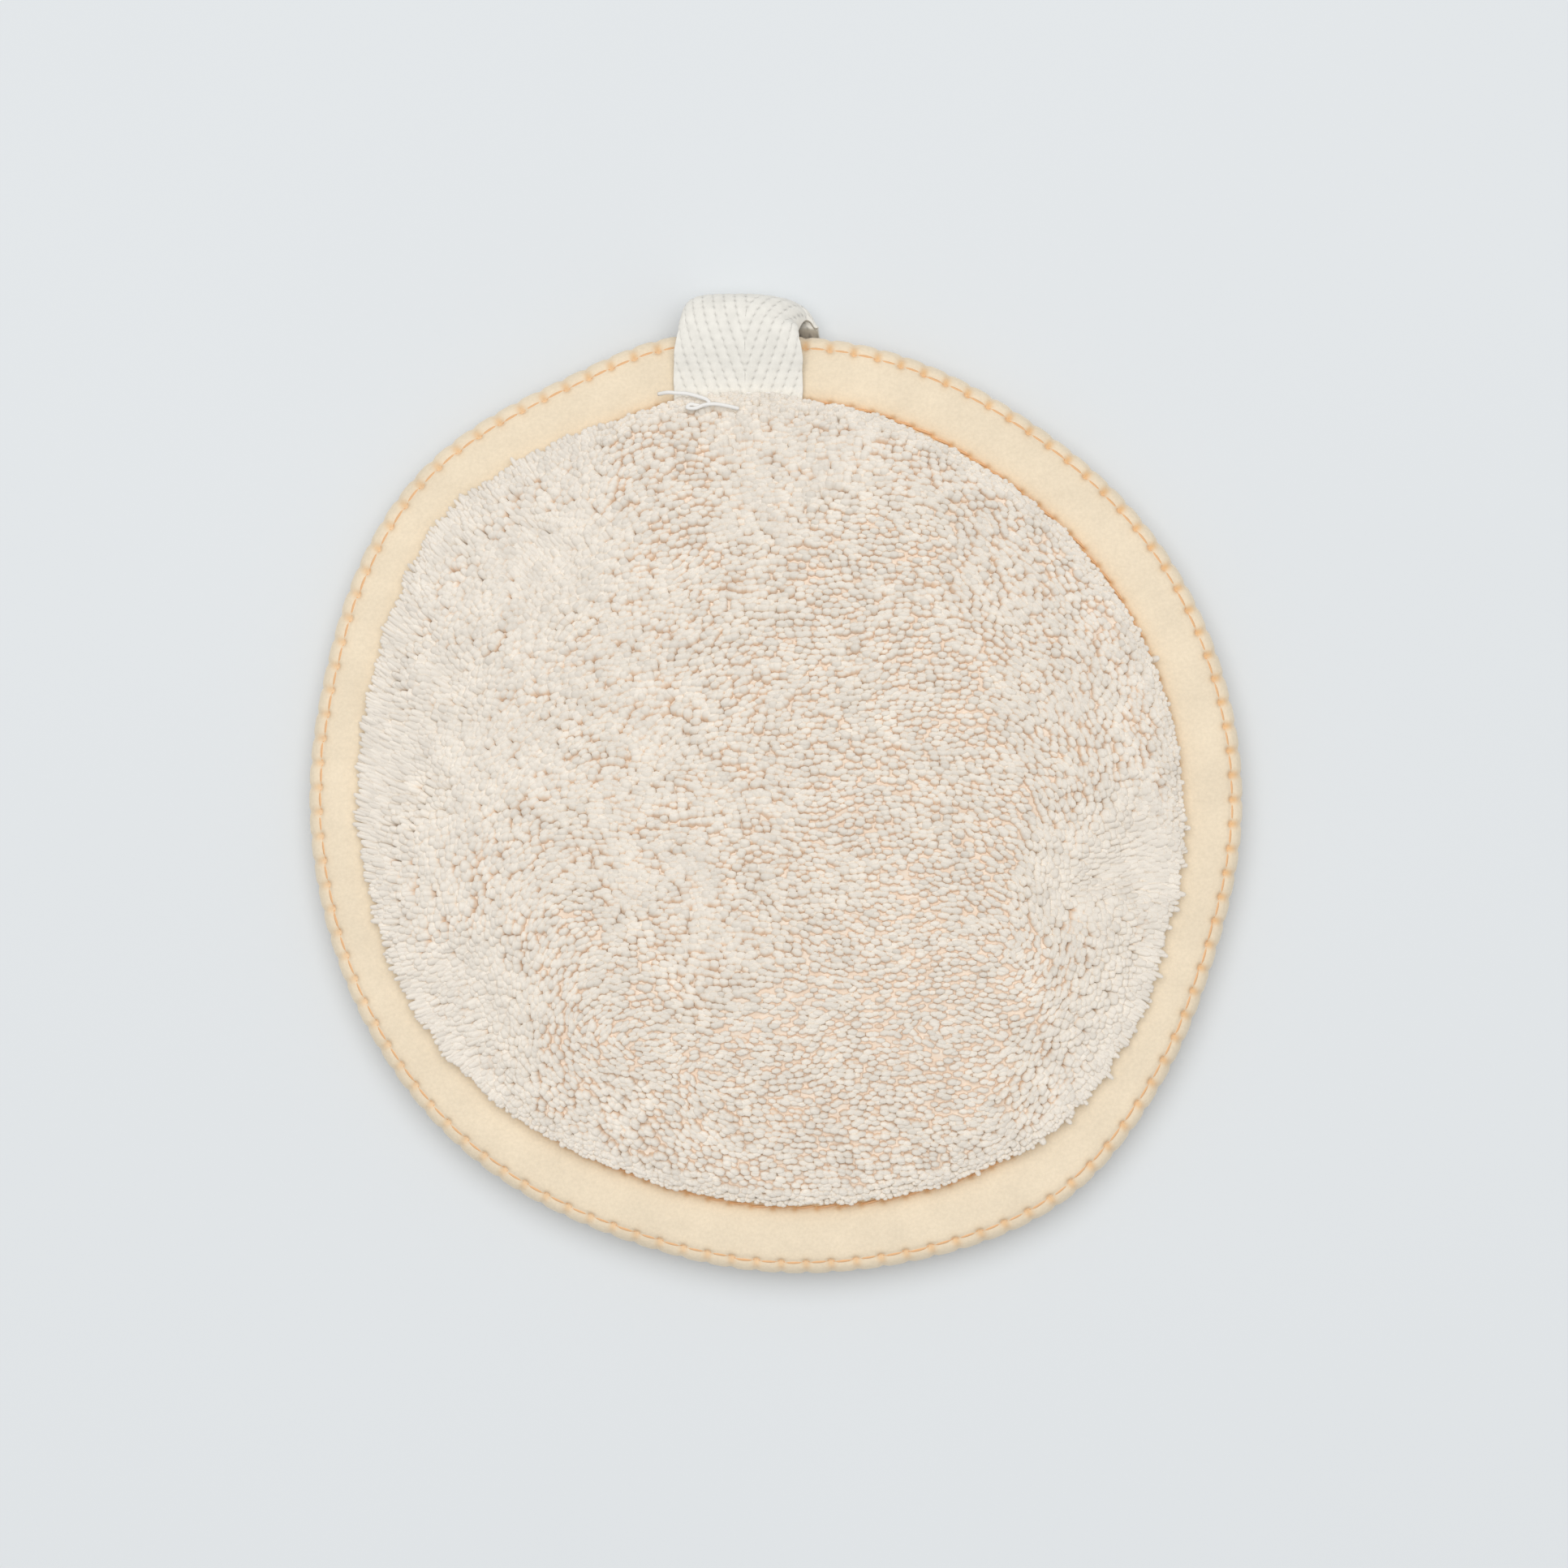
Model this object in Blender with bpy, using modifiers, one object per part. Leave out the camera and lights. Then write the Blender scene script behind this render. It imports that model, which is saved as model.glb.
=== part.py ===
"""Round plush body pad: two pile discs held back to back by a folded edge binding, with a tape
hanging loop sewn over the edge.

Sizes are in metres and +Z is up. The pad lies on its back face. The origin is the centre of that
face, +Y runs towards the hanging loop, and +X to the right as the front is seen.
"""

from math import cos, pi, radians, sin, sqrt

import bmesh
import bpy
import numpy as np

MM = 0.001

# Round pad. A pile stands proud of its cloth's margin, on the front and on the back.
PAD_RADIUS = 55.0 * MM
FRONT_PILE = 3.75 * MM
BACK_PILE = 3.45 * MM
CROWN_FALL = 0.6 * MM
RIM_ROUNDING = 2.6 * MM
MARGIN_THICKNESS = 1.0 * MM
STEPS = 72

# Folded edge binding
BINDING_REACH = 8.6 * MM
BINDING_THICKNESS = 0.9 * MM
BINDING_END_GAP = 0.8 * MM

# Stitching
THREAD_RADIUS = 0.125 * MM
STITCH_PITCH = 2.88 * MM
OUTER_ROW_INSET = 1.45 * MM
ROW_FROM_INNER_EDGE = 0.75 * MM
GROOVE_HALF_WIDTH = 0.25 * MM
GROOVE_DEPTH = 0.4 * MM

# Hanging loop
TAPE_WIDTH = 15.0 * MM
TAPE_THICKNESS = 0.5 * MM
TAPE_CENTRE_X = -4.3 * MM
TAPE_SKEW = 2.7 * MM
EYE_DEPTH = 4.3 * MM
EYE_SQUARENESS = 3.4
SEAM_FROM_TAPE_END = 1.0 * MM
SEAM_SHORT_OF_EDGE = 1.0 * MM

# Gaps
CLOTH_GAP = 0.3 * MM
THREAD_GAP = 0.1 * MM
TAPE_GAP = 0.55 * MM
TAPE_END_GAP = 0.6 * MM
SEAM_THREAD_GAP = 0.2 * MM
LOOP_FLOOR_GAP = 0.2 * MM
TAIL_OVER_PILE = 0.3 * MM

# How far the sewn edge stands out from a true circle, in millimetres, at angles in degrees
# counter-clockwise from +X. The stitching pulls the edge in at some places and eases it at others.
EDGE_EASE = (
    (0, 0.0),
    (30, -0.5),
    (56, -1.5),
    (76, -0.6),
    (93, -0.5),
    (104, 1.2),
    (115, 0.0),
    (137, 2.1),
    (150, 1.3),
    (164, -0.2),
    (192, -0.3),
    (228, 0.3),
    (252, -0.4),
    (284, 1.4),
    (306, 3.6),
    (322, 1.6),
    (340, -0.3),
)
EASE_SPREAD_DEG = 5

# Loose end of the white seam thread, from its seam's left end: millimetres to the right and
# towards the loop, then its rise as a share of the way from the seam to just over the pile.
THREAD_TAIL = (
    (-1.0, -0.6, 0.35),
    (-1.2, -1.5, 0.7),
    (-0.5, -2.0, 0.9),
    (0.3, -1.6, 1.0),
    (1.4, -1.2, 1.0),
    (2.8, -1.3, 0.95),
    (3.5, -1.8, 0.75),
    (2.6, -2.6, 0.55),
    (1.3, -2.7, 0.6),
    (2.4, -2.2, 0.6),
    (3.7, -2.0, 0.4),
    (5.3, -2.0, 0.6),
    (6.2, -2.3, 0.75),
)

MID_HEIGHT = BACK_PILE + MARGIN_THICKNESS + CLOTH_GAP / 2
PAD_HEIGHT = MID_HEIGHT + CLOTH_GAP / 2 + MARGIN_THICKNESS + FRONT_PILE
FOLD_RADIUS = MARGIN_THICKNESS + 1.5 * CLOTH_GAP + BINDING_THICKNESS
PILE_RADIUS = PAD_RADIUS - BINDING_REACH - CLOTH_GAP
INNER_ROW_INSET = BINDING_REACH - ROW_FROM_INNER_EDGE
STITCHES = round(2 * pi * (PAD_RADIUS - OUTER_ROW_INSET) / STITCH_PITCH)
EYE_HALF_HEIGHT = MID_HEIGHT - LOOP_FLOOR_GAP - TAPE_THICKNESS


def edge_scale(angles):
    """Sewn edge radius over PAD_RADIUS at angles in radians.

    Straight lines between EDGE_EASE's points, rounded by averaging over EASE_SPREAD_DEG each way.
    """
    at, ease = np.array(EDGE_EASE, float).T
    spread = np.arange(-EASE_SPREAD_DEG, EASE_SPREAD_DEG + 1)
    near = np.degrees(np.asarray(angles, float))[..., None] + spread
    return 1.0 + np.interp(near, at, ease, period=360.0).mean(axis=-1) * MM / PAD_RADIUS


def ease_to_outline(mesh):
    """Moves every vertex of a turned shape outwards or inwards by its angle's edge_scale."""
    points = np.empty(len(mesh.vertices) * 3, np.float32)
    mesh.vertices.foreach_get("co", points)
    points = points.reshape(-1, 3)
    scale = edge_scale(np.arctan2(points[:, 1], points[:, 0]))
    points[:, :2] *= scale[:, None]
    mesh.vertices.foreach_set("co", points.ravel())


def highest_y(radius, low_x, high_x):
    """Highest Y of the eased ring of this nominal radius between two X values."""
    angles = np.radians(np.arange(0.0, 180.0, 0.25))
    rim = radius * edge_scale(angles)
    across = rim * np.cos(angles)
    inside = (across >= low_x) & (across <= high_x)
    return float((rim * np.sin(angles))[inside].max())


TAPE_LOW_X = TAPE_CENTRE_X - TAPE_WIDTH / 2
TAPE_HIGH_X = TAPE_CENTRE_X + TAPE_WIDTH / 2 + TAPE_SKEW
EDGE_Y = highest_y(PAD_RADIUS, TAPE_LOW_X, TAPE_HIGH_X)
TAPE_END_Y = highest_y(PILE_RADIUS, TAPE_LOW_X, TAPE_HIGH_X) + TAPE_END_GAP
SEAM_Y = TAPE_END_Y + SEAM_FROM_TAPE_END
LEG_OFFSET = FOLD_RADIUS + TAPE_GAP + TAPE_THICKNESS / 2


def clear_scene():
    for obj in list(bpy.data.objects):
        bpy.data.objects.remove(obj, do_unlink=True)


def material(name, colour, roughness):
    """Plain cloth or thread: a Principled BSDF with no metal in it."""
    made = bpy.data.materials.new(name)
    made.use_nodes = True
    shader = made.node_tree.nodes["Principled BSDF"]
    shader.inputs["Base Color"].default_value = (*colour, 1.0)
    shader.inputs["Roughness"].default_value = roughness
    shader.inputs["Metallic"].default_value = 0.0
    made.diffuse_color = (*colour, 1.0)
    return made


def add_object(name, data, collection):
    obj = bpy.data.objects.new(name, data)
    collection.objects.link(obj)
    return obj


def made_solid(obj):
    """Replaces a guide object by the mesh that its modifiers or its bevel give, with doubles welded."""
    bpy.context.view_layer.update()
    graph = bpy.context.evaluated_depsgraph_get()
    mesh = bpy.data.meshes.new_from_object(obj.evaluated_get(graph))
    name = obj.name
    collection = obj.users_collection[0]
    bpy.data.objects.remove(obj, do_unlink=True)
    mesh.name = name
    weld = bmesh.new()
    weld.from_mesh(mesh)
    bmesh.ops.remove_doubles(weld, verts=weld.verts, dist=1e-6)
    rims = [edge for edge in weld.edges if edge.is_boundary]
    if rims:
        bmesh.ops.holes_fill(weld, edges=rims, sides=0)
    bmesh.ops.recalc_face_normals(weld, faces=weld.faces)
    weld.to_mesh(mesh)
    weld.free()
    return add_object(name, mesh, collection)


def finish(obj, cloth, sharp_deg=40.0):
    obj.data.materials.clear()
    obj.data.materials.append(cloth)
    obj.data.shade_smooth()
    obj.data.set_sharp_from_angle(angle=radians(sharp_deg))
    return obj


def turned(name, profile, collection, closed=False, start=0.0, sweep=2 * pi):
    """Profile of (radius, height), down its outer side, turned about Z and eased to the outline."""
    mesh = bpy.data.meshes.new(name)
    links = [(i, i + 1) for i in range(len(profile) - 1)]
    if closed:
        links.append((len(profile) - 1, 0))
    points = [(r * cos(start), r * sin(start), z) for r, z in profile]
    mesh.from_pydata(points, links, [])
    guide = add_object(name, mesh, collection)
    screw = guide.modifiers.new("turn", "SCREW")
    screw.angle = sweep
    screw.steps = STEPS
    screw.render_steps = STEPS
    screw.use_merge_vertices = True
    screw.merge_threshold = 0.00001
    solid = made_solid(guide)
    ease_to_outline(solid.data)
    return solid


def tube(name, points, collection, cyclic, resolution=0):
    """Thread through points, as a bevelled poly curve made a mesh."""
    curve = bpy.data.curves.new(name, "CURVE")
    curve.dimensions = "3D"
    curve.bevel_depth = THREAD_RADIUS
    curve.bevel_resolution = resolution
    curve.use_fill_caps = not cyclic
    spline = curve.splines.new("POLY")
    spline.points.add(len(points) - 1)
    for point, place in zip(spline.points, points):
        point.co = (*place, 1.0)
    spline.use_cyclic_u = cyclic
    return made_solid(add_object(name, curve, collection))


def rim_arc(wall_height, wall_foot, turns, way):
    """Rounded rim of a pile as (radius, height): way is 1 upwards and -1 downwards.

    The rounding is held under the height of the wall that it is on.
    """
    rounding = min(RIM_ROUNDING, 0.9 * wall_height)
    centre = wall_foot + way * (wall_height - rounding)
    arc = []
    for turn in turns:
        angle = radians(turn)
        radius = PILE_RADIUS - rounding * (1 - sin(angle))
        arc.append((radius, centre + way * rounding * cos(angle)))
    return arc


def front_cloth(collection):
    """Domed pile with a rounded rim, and a thin margin that reaches into the fold."""
    base = MID_HEIGHT + CLOTH_GAP / 2
    margin_top = base + MARGIN_THICKNESS
    rim = rim_arc(FRONT_PILE - CROWN_FALL, margin_top, (0, 30, 60, 90), 1)
    profile = [(0.0, PAD_HEIGHT)]
    for share in (0.35, 0.7):
        profile.append((rim[0][0] * share, PAD_HEIGHT - CROWN_FALL * share**2))
    profile += rim
    profile.append((PILE_RADIUS, margin_top))
    profile.append((PAD_RADIUS - FOLD_RADIUS, margin_top))
    profile.append((PAD_RADIUS - FOLD_RADIUS, base))
    profile.append((0.0, base))
    return turned("front_cloth", profile, collection)


def back_cloth(collection):
    """Flat resting face, rounded rim, and a thin margin that reaches into the fold."""
    top = MID_HEIGHT - CLOTH_GAP / 2
    margin_base = top - MARGIN_THICKNESS
    profile = [(0.0, top), (PAD_RADIUS - FOLD_RADIUS, top), (PAD_RADIUS - FOLD_RADIUS, margin_base)]
    profile.append((PILE_RADIUS, margin_base))
    profile += rim_arc(BACK_PILE, margin_base, (90, 60, 30, 0), -1)
    profile.append((0.0, 0.0))
    return turned("back_cloth", profile, collection)


def fold_height(inset):
    """Height of the binding's outside above the middle plane, this far in from the folded edge."""
    if inset >= FOLD_RADIUS:
        return FOLD_RADIUS
    return sqrt(FOLD_RADIUS**2 - (FOLD_RADIUS - inset) ** 2)


def groove(inset):
    """Channel that a row of stitches pulls into the binding, as (inset, height) corners."""
    inner = inset + GROOVE_HALF_WIDTH
    outer = inset - GROOVE_HALF_WIDTH
    floor = fold_height(inset) - GROOVE_DEPTH
    return [(inner, fold_height(inner)), (inner, floor), (outer, floor), (outer, fold_height(outer))]


def fold_arc(radius, turns):
    """Points of the fold as (inset, height), at degrees from the middle plane."""
    return [
        (FOLD_RADIUS - radius * cos(radians(turn)), radius * sin(radians(turn))) for turn in turns
    ]


def binding_angles():
    """First angle and sweep of the strip, whose two ends meet under the tape's middle."""
    middle = pi / 2 + np.arcsin(-TAPE_CENTRE_X / EDGE_Y)
    gap = BINDING_END_GAP / PAD_RADIUS
    return float(middle + gap / 2), 2 * pi - gap


def edge_binding(collection):
    """Strip of C section: outside from the front's inner edge round to the back's, then inside."""
    inside_radius = FOLD_RADIUS - BINDING_THICKNESS
    section = [(BINDING_REACH, FOLD_RADIUS)]
    section += groove(INNER_ROW_INSET)
    section.append((FOLD_RADIUS, FOLD_RADIUS))
    section += groove(OUTER_ROW_INSET)
    section += fold_arc(FOLD_RADIUS, (45, 22, 0, -22, -45, -68, -90))
    section.append((BINDING_REACH, -FOLD_RADIUS))
    section.append((BINDING_REACH, -inside_radius))
    section += fold_arc(inside_radius, (-90, -45, 0, 45, 90))
    section.append((BINDING_REACH, inside_radius))
    profile = [(PAD_RADIUS - inset, MID_HEIGHT + height) for inset, height in section]
    start, sweep = binding_angles()
    return turned("edge_binding", profile, collection, closed=True, start=start, sweep=sweep)


def ring_points(radii, height, angles):
    """Points round the eased outline at the given nominal radii and one height."""
    reach = np.asarray(radii) * edge_scale(angles)
    heights = np.full(len(angles), height)
    return np.column_stack([reach * np.cos(angles), reach * np.sin(angles), heights])


def needle_thread(name, inset, collection):
    """One row of stitches, lying in its groove all the way round."""
    start, sweep = binding_angles()
    angles = start + np.linspace(0.0, sweep, STEPS + 1)
    floor = MID_HEIGHT + fold_height(inset) - GROOVE_DEPTH
    level = floor + THREAD_GAP + THREAD_RADIUS
    radii = np.full(len(angles), PAD_RADIUS - inset)
    return tube(name, ring_points(radii, level, angles), collection, cyclic=True)


def looper_thread(collection):
    """Thread on the back that crosses from row to row at each stitch."""
    angles = np.linspace(0.0, 2 * pi, 2 * STITCHES, endpoint=False)
    insets = np.where(np.arange(2 * STITCHES) % 2 == 0, INNER_ROW_INSET, OUTER_ROW_INSET)
    level = MID_HEIGHT - FOLD_RADIUS - THREAD_GAP - THREAD_RADIUS
    return tube(
        "looper_thread", ring_points(PAD_RADIUS - insets, level, angles), collection, cyclic=True
    )


def loop_path():
    """Middle line of the tape, front leg to back leg, as (y, height above the middle plane, skew).

    The bight is half a squared-off ellipse, and the tape drifts sideways as it goes round it.
    """
    depth = EYE_DEPTH + TAPE_THICKNESS / 2
    half_height = EYE_HALF_HEIGHT + TAPE_THICKNESS / 2
    front = [(TAPE_END_Y, LEG_OFFSET, 0.0), (SEAM_Y + SEAM_FROM_TAPE_END, LEG_OFFSET, 0.0)]
    bight = []
    for turn in range(90, -91, -10):
        out = max(cos(radians(turn)), 0.0) ** (2 / EYE_SQUARENESS)
        up = abs(sin(radians(turn))) ** (2 / EYE_SQUARENESS)
        rise = half_height * up if turn >= 0 else -half_height * up
        share = (90 - turn) / 180
        skew = TAPE_SKEW * share * share * (3 - 2 * share)
        bight.append((EDGE_Y + depth * out, rise, skew))
    back = [(y, -height, TAPE_SKEW) for y, height, _ in reversed(front)]
    return front + bight + back


def hanging_loop(collection):
    """Tape as an open strip with a thickness; its back leg comes down skewed to the right."""
    path = loop_path()
    points = []
    for y, height, skew in path:
        for side in (-0.5, 0.5):
            across = TAPE_CENTRE_X + side * TAPE_WIDTH + skew
            points.append((across, y, MID_HEIGHT + height))
    faces = [(2 * i, 2 * i + 1, 2 * i + 3, 2 * i + 2) for i in range(len(path) - 1)]
    mesh = bpy.data.meshes.new("hanging_loop")
    mesh.from_pydata(points, [], faces)
    strip = add_object("hanging_loop", mesh, collection)
    wall = strip.modifiers.new("thickness", "SOLIDIFY")
    wall.thickness = TAPE_THICKNESS
    wall.offset = 0.0
    wall.use_even_offset = True
    return made_solid(strip)


def seam_run(level, shift):
    """Straight run of stitches across the tape, right end to left end."""
    half = TAPE_WIDTH / 2 - SEAM_SHORT_OF_EDGE
    centre = TAPE_CENTRE_X + shift
    return [(centre + side * half, SEAM_Y, level) for side in (1.0, 0.33, -0.33, -1.0)]


def loop_seam_thread(collection):
    """Seam across the tape on the front, with a loose tail that curls over the pile."""
    stand_off = LEG_OFFSET + TAPE_THICKNESS / 2 + SEAM_THREAD_GAP + THREAD_RADIUS
    points = seam_run(MID_HEIGHT + stand_off, 0.0)
    left, seam_y, level = points[-1]
    rise = PAD_HEIGHT + TAIL_OVER_PILE - level
    for right, along, share in THREAD_TAIL:
        points.append((left + right * MM, seam_y + along * MM, level + share * rise))
    return tube("loop_seam_thread", points, collection, cyclic=False)


def loop_seam_bobbin_thread(collection):
    stand_off = LEG_OFFSET + TAPE_THICKNESS / 2 + SEAM_THREAD_GAP + THREAD_RADIUS
    points = seam_run(MID_HEIGHT - stand_off, TAPE_SKEW)
    return tube("loop_seam_bobbin_thread", points, collection, cyclic=False)


def main():
    clear_scene()
    pad = bpy.data.collections.new("plush_body_pad")
    bpy.context.scene.collection.children.link(pad)
    plush = material("beige_plush", (0.76, 0.67, 0.56), 0.95)
    velour = material("pale_yellow_velour", (0.82, 0.67, 0.48), 0.9)
    cotton = material("undyed_cotton_tape", (0.79, 0.76, 0.7), 0.85)
    peach = material("peach_thread", (0.85, 0.5, 0.26), 0.6)
    white = material("white_thread", (0.9, 0.88, 0.84), 0.5)
    finish(front_cloth(pad), plush)
    finish(back_cloth(pad), plush)
    finish(edge_binding(pad), velour)
    finish(hanging_loop(pad), cotton)
    finish(needle_thread("inner_needle_thread", INNER_ROW_INSET, pad), peach)
    finish(needle_thread("outer_needle_thread", OUTER_ROW_INSET, pad), peach)
    finish(looper_thread(pad), peach)
    finish(loop_seam_thread(pad), white)
    finish(loop_seam_bobbin_thread(pad), white)


main()
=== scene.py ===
"""Finished look of a round plush body pad: locks of cut pile on both faces, a puffed velour edge
binding with two rows of stitches, a woven herringbone hanging loop and its white seam thread."""

from math import pi, radians

import bpy
import numpy as np
from bpy.props import FloatProperty, FloatVectorProperty, IntProperty, PointerProperty
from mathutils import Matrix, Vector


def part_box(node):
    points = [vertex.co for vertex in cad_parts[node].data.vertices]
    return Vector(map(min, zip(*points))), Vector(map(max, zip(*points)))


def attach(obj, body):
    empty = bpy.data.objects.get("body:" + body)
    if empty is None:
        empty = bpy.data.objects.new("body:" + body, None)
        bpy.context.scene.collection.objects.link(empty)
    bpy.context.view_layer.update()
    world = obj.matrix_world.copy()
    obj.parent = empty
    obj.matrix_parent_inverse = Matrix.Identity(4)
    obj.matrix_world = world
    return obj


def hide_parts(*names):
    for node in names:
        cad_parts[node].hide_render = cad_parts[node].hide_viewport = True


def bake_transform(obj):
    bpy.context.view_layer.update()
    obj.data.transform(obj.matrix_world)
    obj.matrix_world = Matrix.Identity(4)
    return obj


bl_info = {
    "name": "Plush Body Pad",
    "version": (1, 0, 0),
    "blender": (4, 5, 0),
    "location": "3D View > Sidebar > Plush Pad",
    "description": "Builds the cloth, pile and stitches of a round plush pad around its solid frame",
    "category": "Add Mesh",
}

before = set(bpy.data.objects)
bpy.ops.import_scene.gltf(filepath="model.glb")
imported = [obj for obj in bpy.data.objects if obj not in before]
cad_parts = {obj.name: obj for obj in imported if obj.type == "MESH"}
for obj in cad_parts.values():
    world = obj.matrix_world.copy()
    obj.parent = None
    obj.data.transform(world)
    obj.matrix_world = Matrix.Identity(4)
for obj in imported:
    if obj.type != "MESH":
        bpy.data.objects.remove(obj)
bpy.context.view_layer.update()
MM = 0.001
TAU = 2 * pi

# ---------------------------------------------------------------- places read from the frame


def node_points(name):
    """Vertices of a CAD node as an array of points."""
    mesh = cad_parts[name].data
    points = np.empty(len(mesh.vertices) * 3, np.float32)
    mesh.vertices.foreach_get("co", points)
    return points.reshape(-1, 3).astype(float)


def read_outline():
    """Folded edge's radius at evenly spaced angles, from the CAD binding's widest ring.

    The ring's corners are joined by straight lines, and the result keeps only its slow waves.
    """
    points = node_points("edge_binding")
    middle = (points[:, 2].min() + points[:, 2].max()) / 2
    ring = points[np.abs(points[:, 2] - middle) < 0.05 * MM]
    corners, place = np.unique(
        np.round(np.arctan2(ring[:, 1], ring[:, 0]), 3), return_inverse=True
    )
    widest = np.zeros(len(corners))
    np.maximum.at(widest, place, np.hypot(ring[:, 0], ring[:, 1]))
    angles = np.arange(720) * TAU / 720
    waves = np.fft.rfft(np.interp(angles, corners, widest, period=TAU))
    order = np.arange(len(waves))
    return angles, np.fft.irfft(waves * np.exp(-((order / 22.0) ** 4)))


OUTLINE_ANGLES, OUTLINE = read_outline()
MEAN_RADIUS = float(OUTLINE.mean())
BINDING_LOW, BINDING_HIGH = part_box("edge_binding")
MID_Z = (BINDING_LOW.z + BINDING_HIGH.z) / 2
FOLD_RISE = (BINDING_HIGH.z - BINDING_LOW.z) / 2
TABLE_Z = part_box("back_cloth")[0].z
TAPE_LOW, TAPE_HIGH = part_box("hanging_loop")
SEAM_LOW, SEAM_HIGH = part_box("loop_seam_bobbin_thread")
SEAM_Y = (SEAM_LOW.y + SEAM_HIGH.y) / 2


def edge_radius(angle):
    """Folded edge's radius at an angle, along straight lines between the outline's points."""
    return np.interp(np.asarray(angle) % TAU, OUTLINE_ANGLES, OUTLINE, period=TAU)


def ring_radius(angle, inset):
    """Radius of the line that lies this far in from the folded edge, eased as the edge is."""
    edge = edge_radius(angle)
    return edge - inset * edge / MEAN_RADIUS


# ---------------------------------------------------------------- sizes and colours


class PileSettings(bpy.types.PropertyGroup):
    wale: FloatProperty(
        name="Wale spacing", description="Distance between columns of tufts",
        default=0.98 * MM, unit="LENGTH",
    )
    course: FloatProperty(
        name="Course spacing", description="Distance between rows of tufts",
        default=0.65 * MM, unit="LENGTH",
    )
    length: FloatProperty(
        name="Pile length", description="Length of a lock from the ground cloth to its tip",
        default=3.5 * MM, unit="LENGTH",
    )
    belly: FloatProperty(
        name="Lock radius", description="Radius of a lock at its fullest",
        default=0.385 * MM, unit="LENGTH",
    )
    # Painted shade: the root colour stands in for the shade deep among the locks and on the ground
    # cloth under them.
    root_shade_colour: FloatVectorProperty(
        name="Root colour", description="Colour deep in the pile", subtype="COLOR",
        default=(0.75, 0.53, 0.36), min=0, max=1,
    )
    tip_colour: FloatVectorProperty(
        name="Tip colour", description="Colour of the pile's tips", subtype="COLOR",
        default=(0.885, 0.815, 0.72), min=0, max=1,
    )
    seed: IntProperty(name="Seed", description="Number that fixes the random draws", default=7)


class BindingSettings(bpy.types.PropertyGroup):
    reach: FloatProperty(
        name="Binding reach", description="Width of the strip on each face",
        default=8.6 * MM, unit="LENGTH",
    )
    outer_row: FloatProperty(
        name="Outer row inset", description="Outer row of stitches from the fold",
        default=1.45 * MM, unit="LENGTH",
    )
    inner_row: FloatProperty(
        name="Inner row inset", description="Inner row of stitches from the fold",
        default=7.85 * MM, unit="LENGTH",
    )
    stitches: IntProperty(
        name="Stitches", description="Stitches in each row, all the way round", default=117
    )
    thread: FloatProperty(
        name="Thread radius", description="Radius of the stitching thread",
        default=0.15 * MM, unit="LENGTH",
    )
    colour: FloatVectorProperty(
        name="Velour colour", description="Colour of the brushed strip", subtype="COLOR",
        default=(0.875, 0.745, 0.56), min=0, max=1,
    )
    # Painted shade, partly the thread's colour: the orange that the strip takes in its needle holes
    # and along its rows.
    thread_and_shade_colour: FloatVectorProperty(
        name="Pulled colour", description="Colour of the strip deep in its needle holes",
        subtype="COLOR", default=(0.78, 0.46, 0.20), min=0, max=1,
    )
    thread_colour: FloatVectorProperty(
        name="Thread colour", description="Colour of the peach thread", subtype="COLOR",
        default=(0.89, 0.76, 0.56), min=0, max=1,
    )


class TapeSettings(bpy.types.PropertyGroup):
    warp: FloatProperty(
        name="Warp spacing", description="Distance between the tape's lengthwise yarns",
        default=0.32 * MM, unit="LENGTH",
    )
    pick: FloatProperty(
        name="Pick spacing", description="Distance between the tape's crosswise yarns",
        default=0.92 * MM, unit="LENGTH",
    )
    thickness: FloatProperty(
        name="Tape thickness", description="Thickness of the woven tape",
        default=0.5 * MM, unit="LENGTH",
    )
    colour: FloatVectorProperty(
        name="Tape colour", description="Colour of the cotton yarns", subtype="COLOR",
        default=(0.87, 0.84, 0.77), min=0, max=1,
    )
    thread_colour: FloatVectorProperty(
        name="Seam thread colour", description="Colour of the white seam thread",
        subtype="COLOR", default=(0.93, 0.92, 0.90), min=0, max=1,
    )


class StageSettings(bpy.types.PropertyGroup):
    floor_colour: FloatVectorProperty(
        name="Floor colour", description="Colour of the plain floor", subtype="COLOR",
        default=(0.77, 0.795, 0.81), min=0, max=1,
    )
    key: FloatProperty(
        name="Key light", description="Power of the large soft lamp", default=19.8, unit="POWER"
    )
    ambient: FloatProperty(
        name="Ambient light", description="Strength of the even light all round", default=0.43
    )
    focal: FloatProperty(
        name="Focal length", description="Lens of the camera in millimetres", default=85.0
    )


class PadSettings(bpy.types.PropertyGroup):
    pile: PointerProperty(type=PileSettings)
    binding: PointerProperty(type=BindingSettings)
    tape: PointerProperty(type=TapeSettings)
    stage: PointerProperty(type=StageSettings)


# ---------------------------------------------------------------- mesh tools


def soft_noise(x, y, cell, seed):
    """Smooth random surface from -1 to 1: a random value at each corner of a square cell, with
    an eased blend between the four corners."""
    table = np.random.default_rng(seed).uniform(-1.0, 1.0, (64, 64))
    column, row = np.floor(x / cell).astype(int), np.floor(y / cell).astype(int)
    right, up = x / cell - column, y / cell - row
    right, up = right * right * (3 - 2 * right), up * up * (3 - 2 * up)
    low = table[column % 64, row % 64] * (1 - right) + table[(column + 1) % 64, row % 64] * right
    high = (
        table[column % 64, (row + 1) % 64] * (1 - right)
        + table[(column + 1) % 64, (row + 1) % 64] * right
    )
    return low * (1 - up) + high * up


def smooth_step(value, low, high):
    """Share s of the way from low to high, eased as 3 s squared less 2 s cubed."""
    share = np.clip((value - low) / (high - low), 0.0, 1.0)
    return share * share * (3 - 2 * share)


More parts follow.
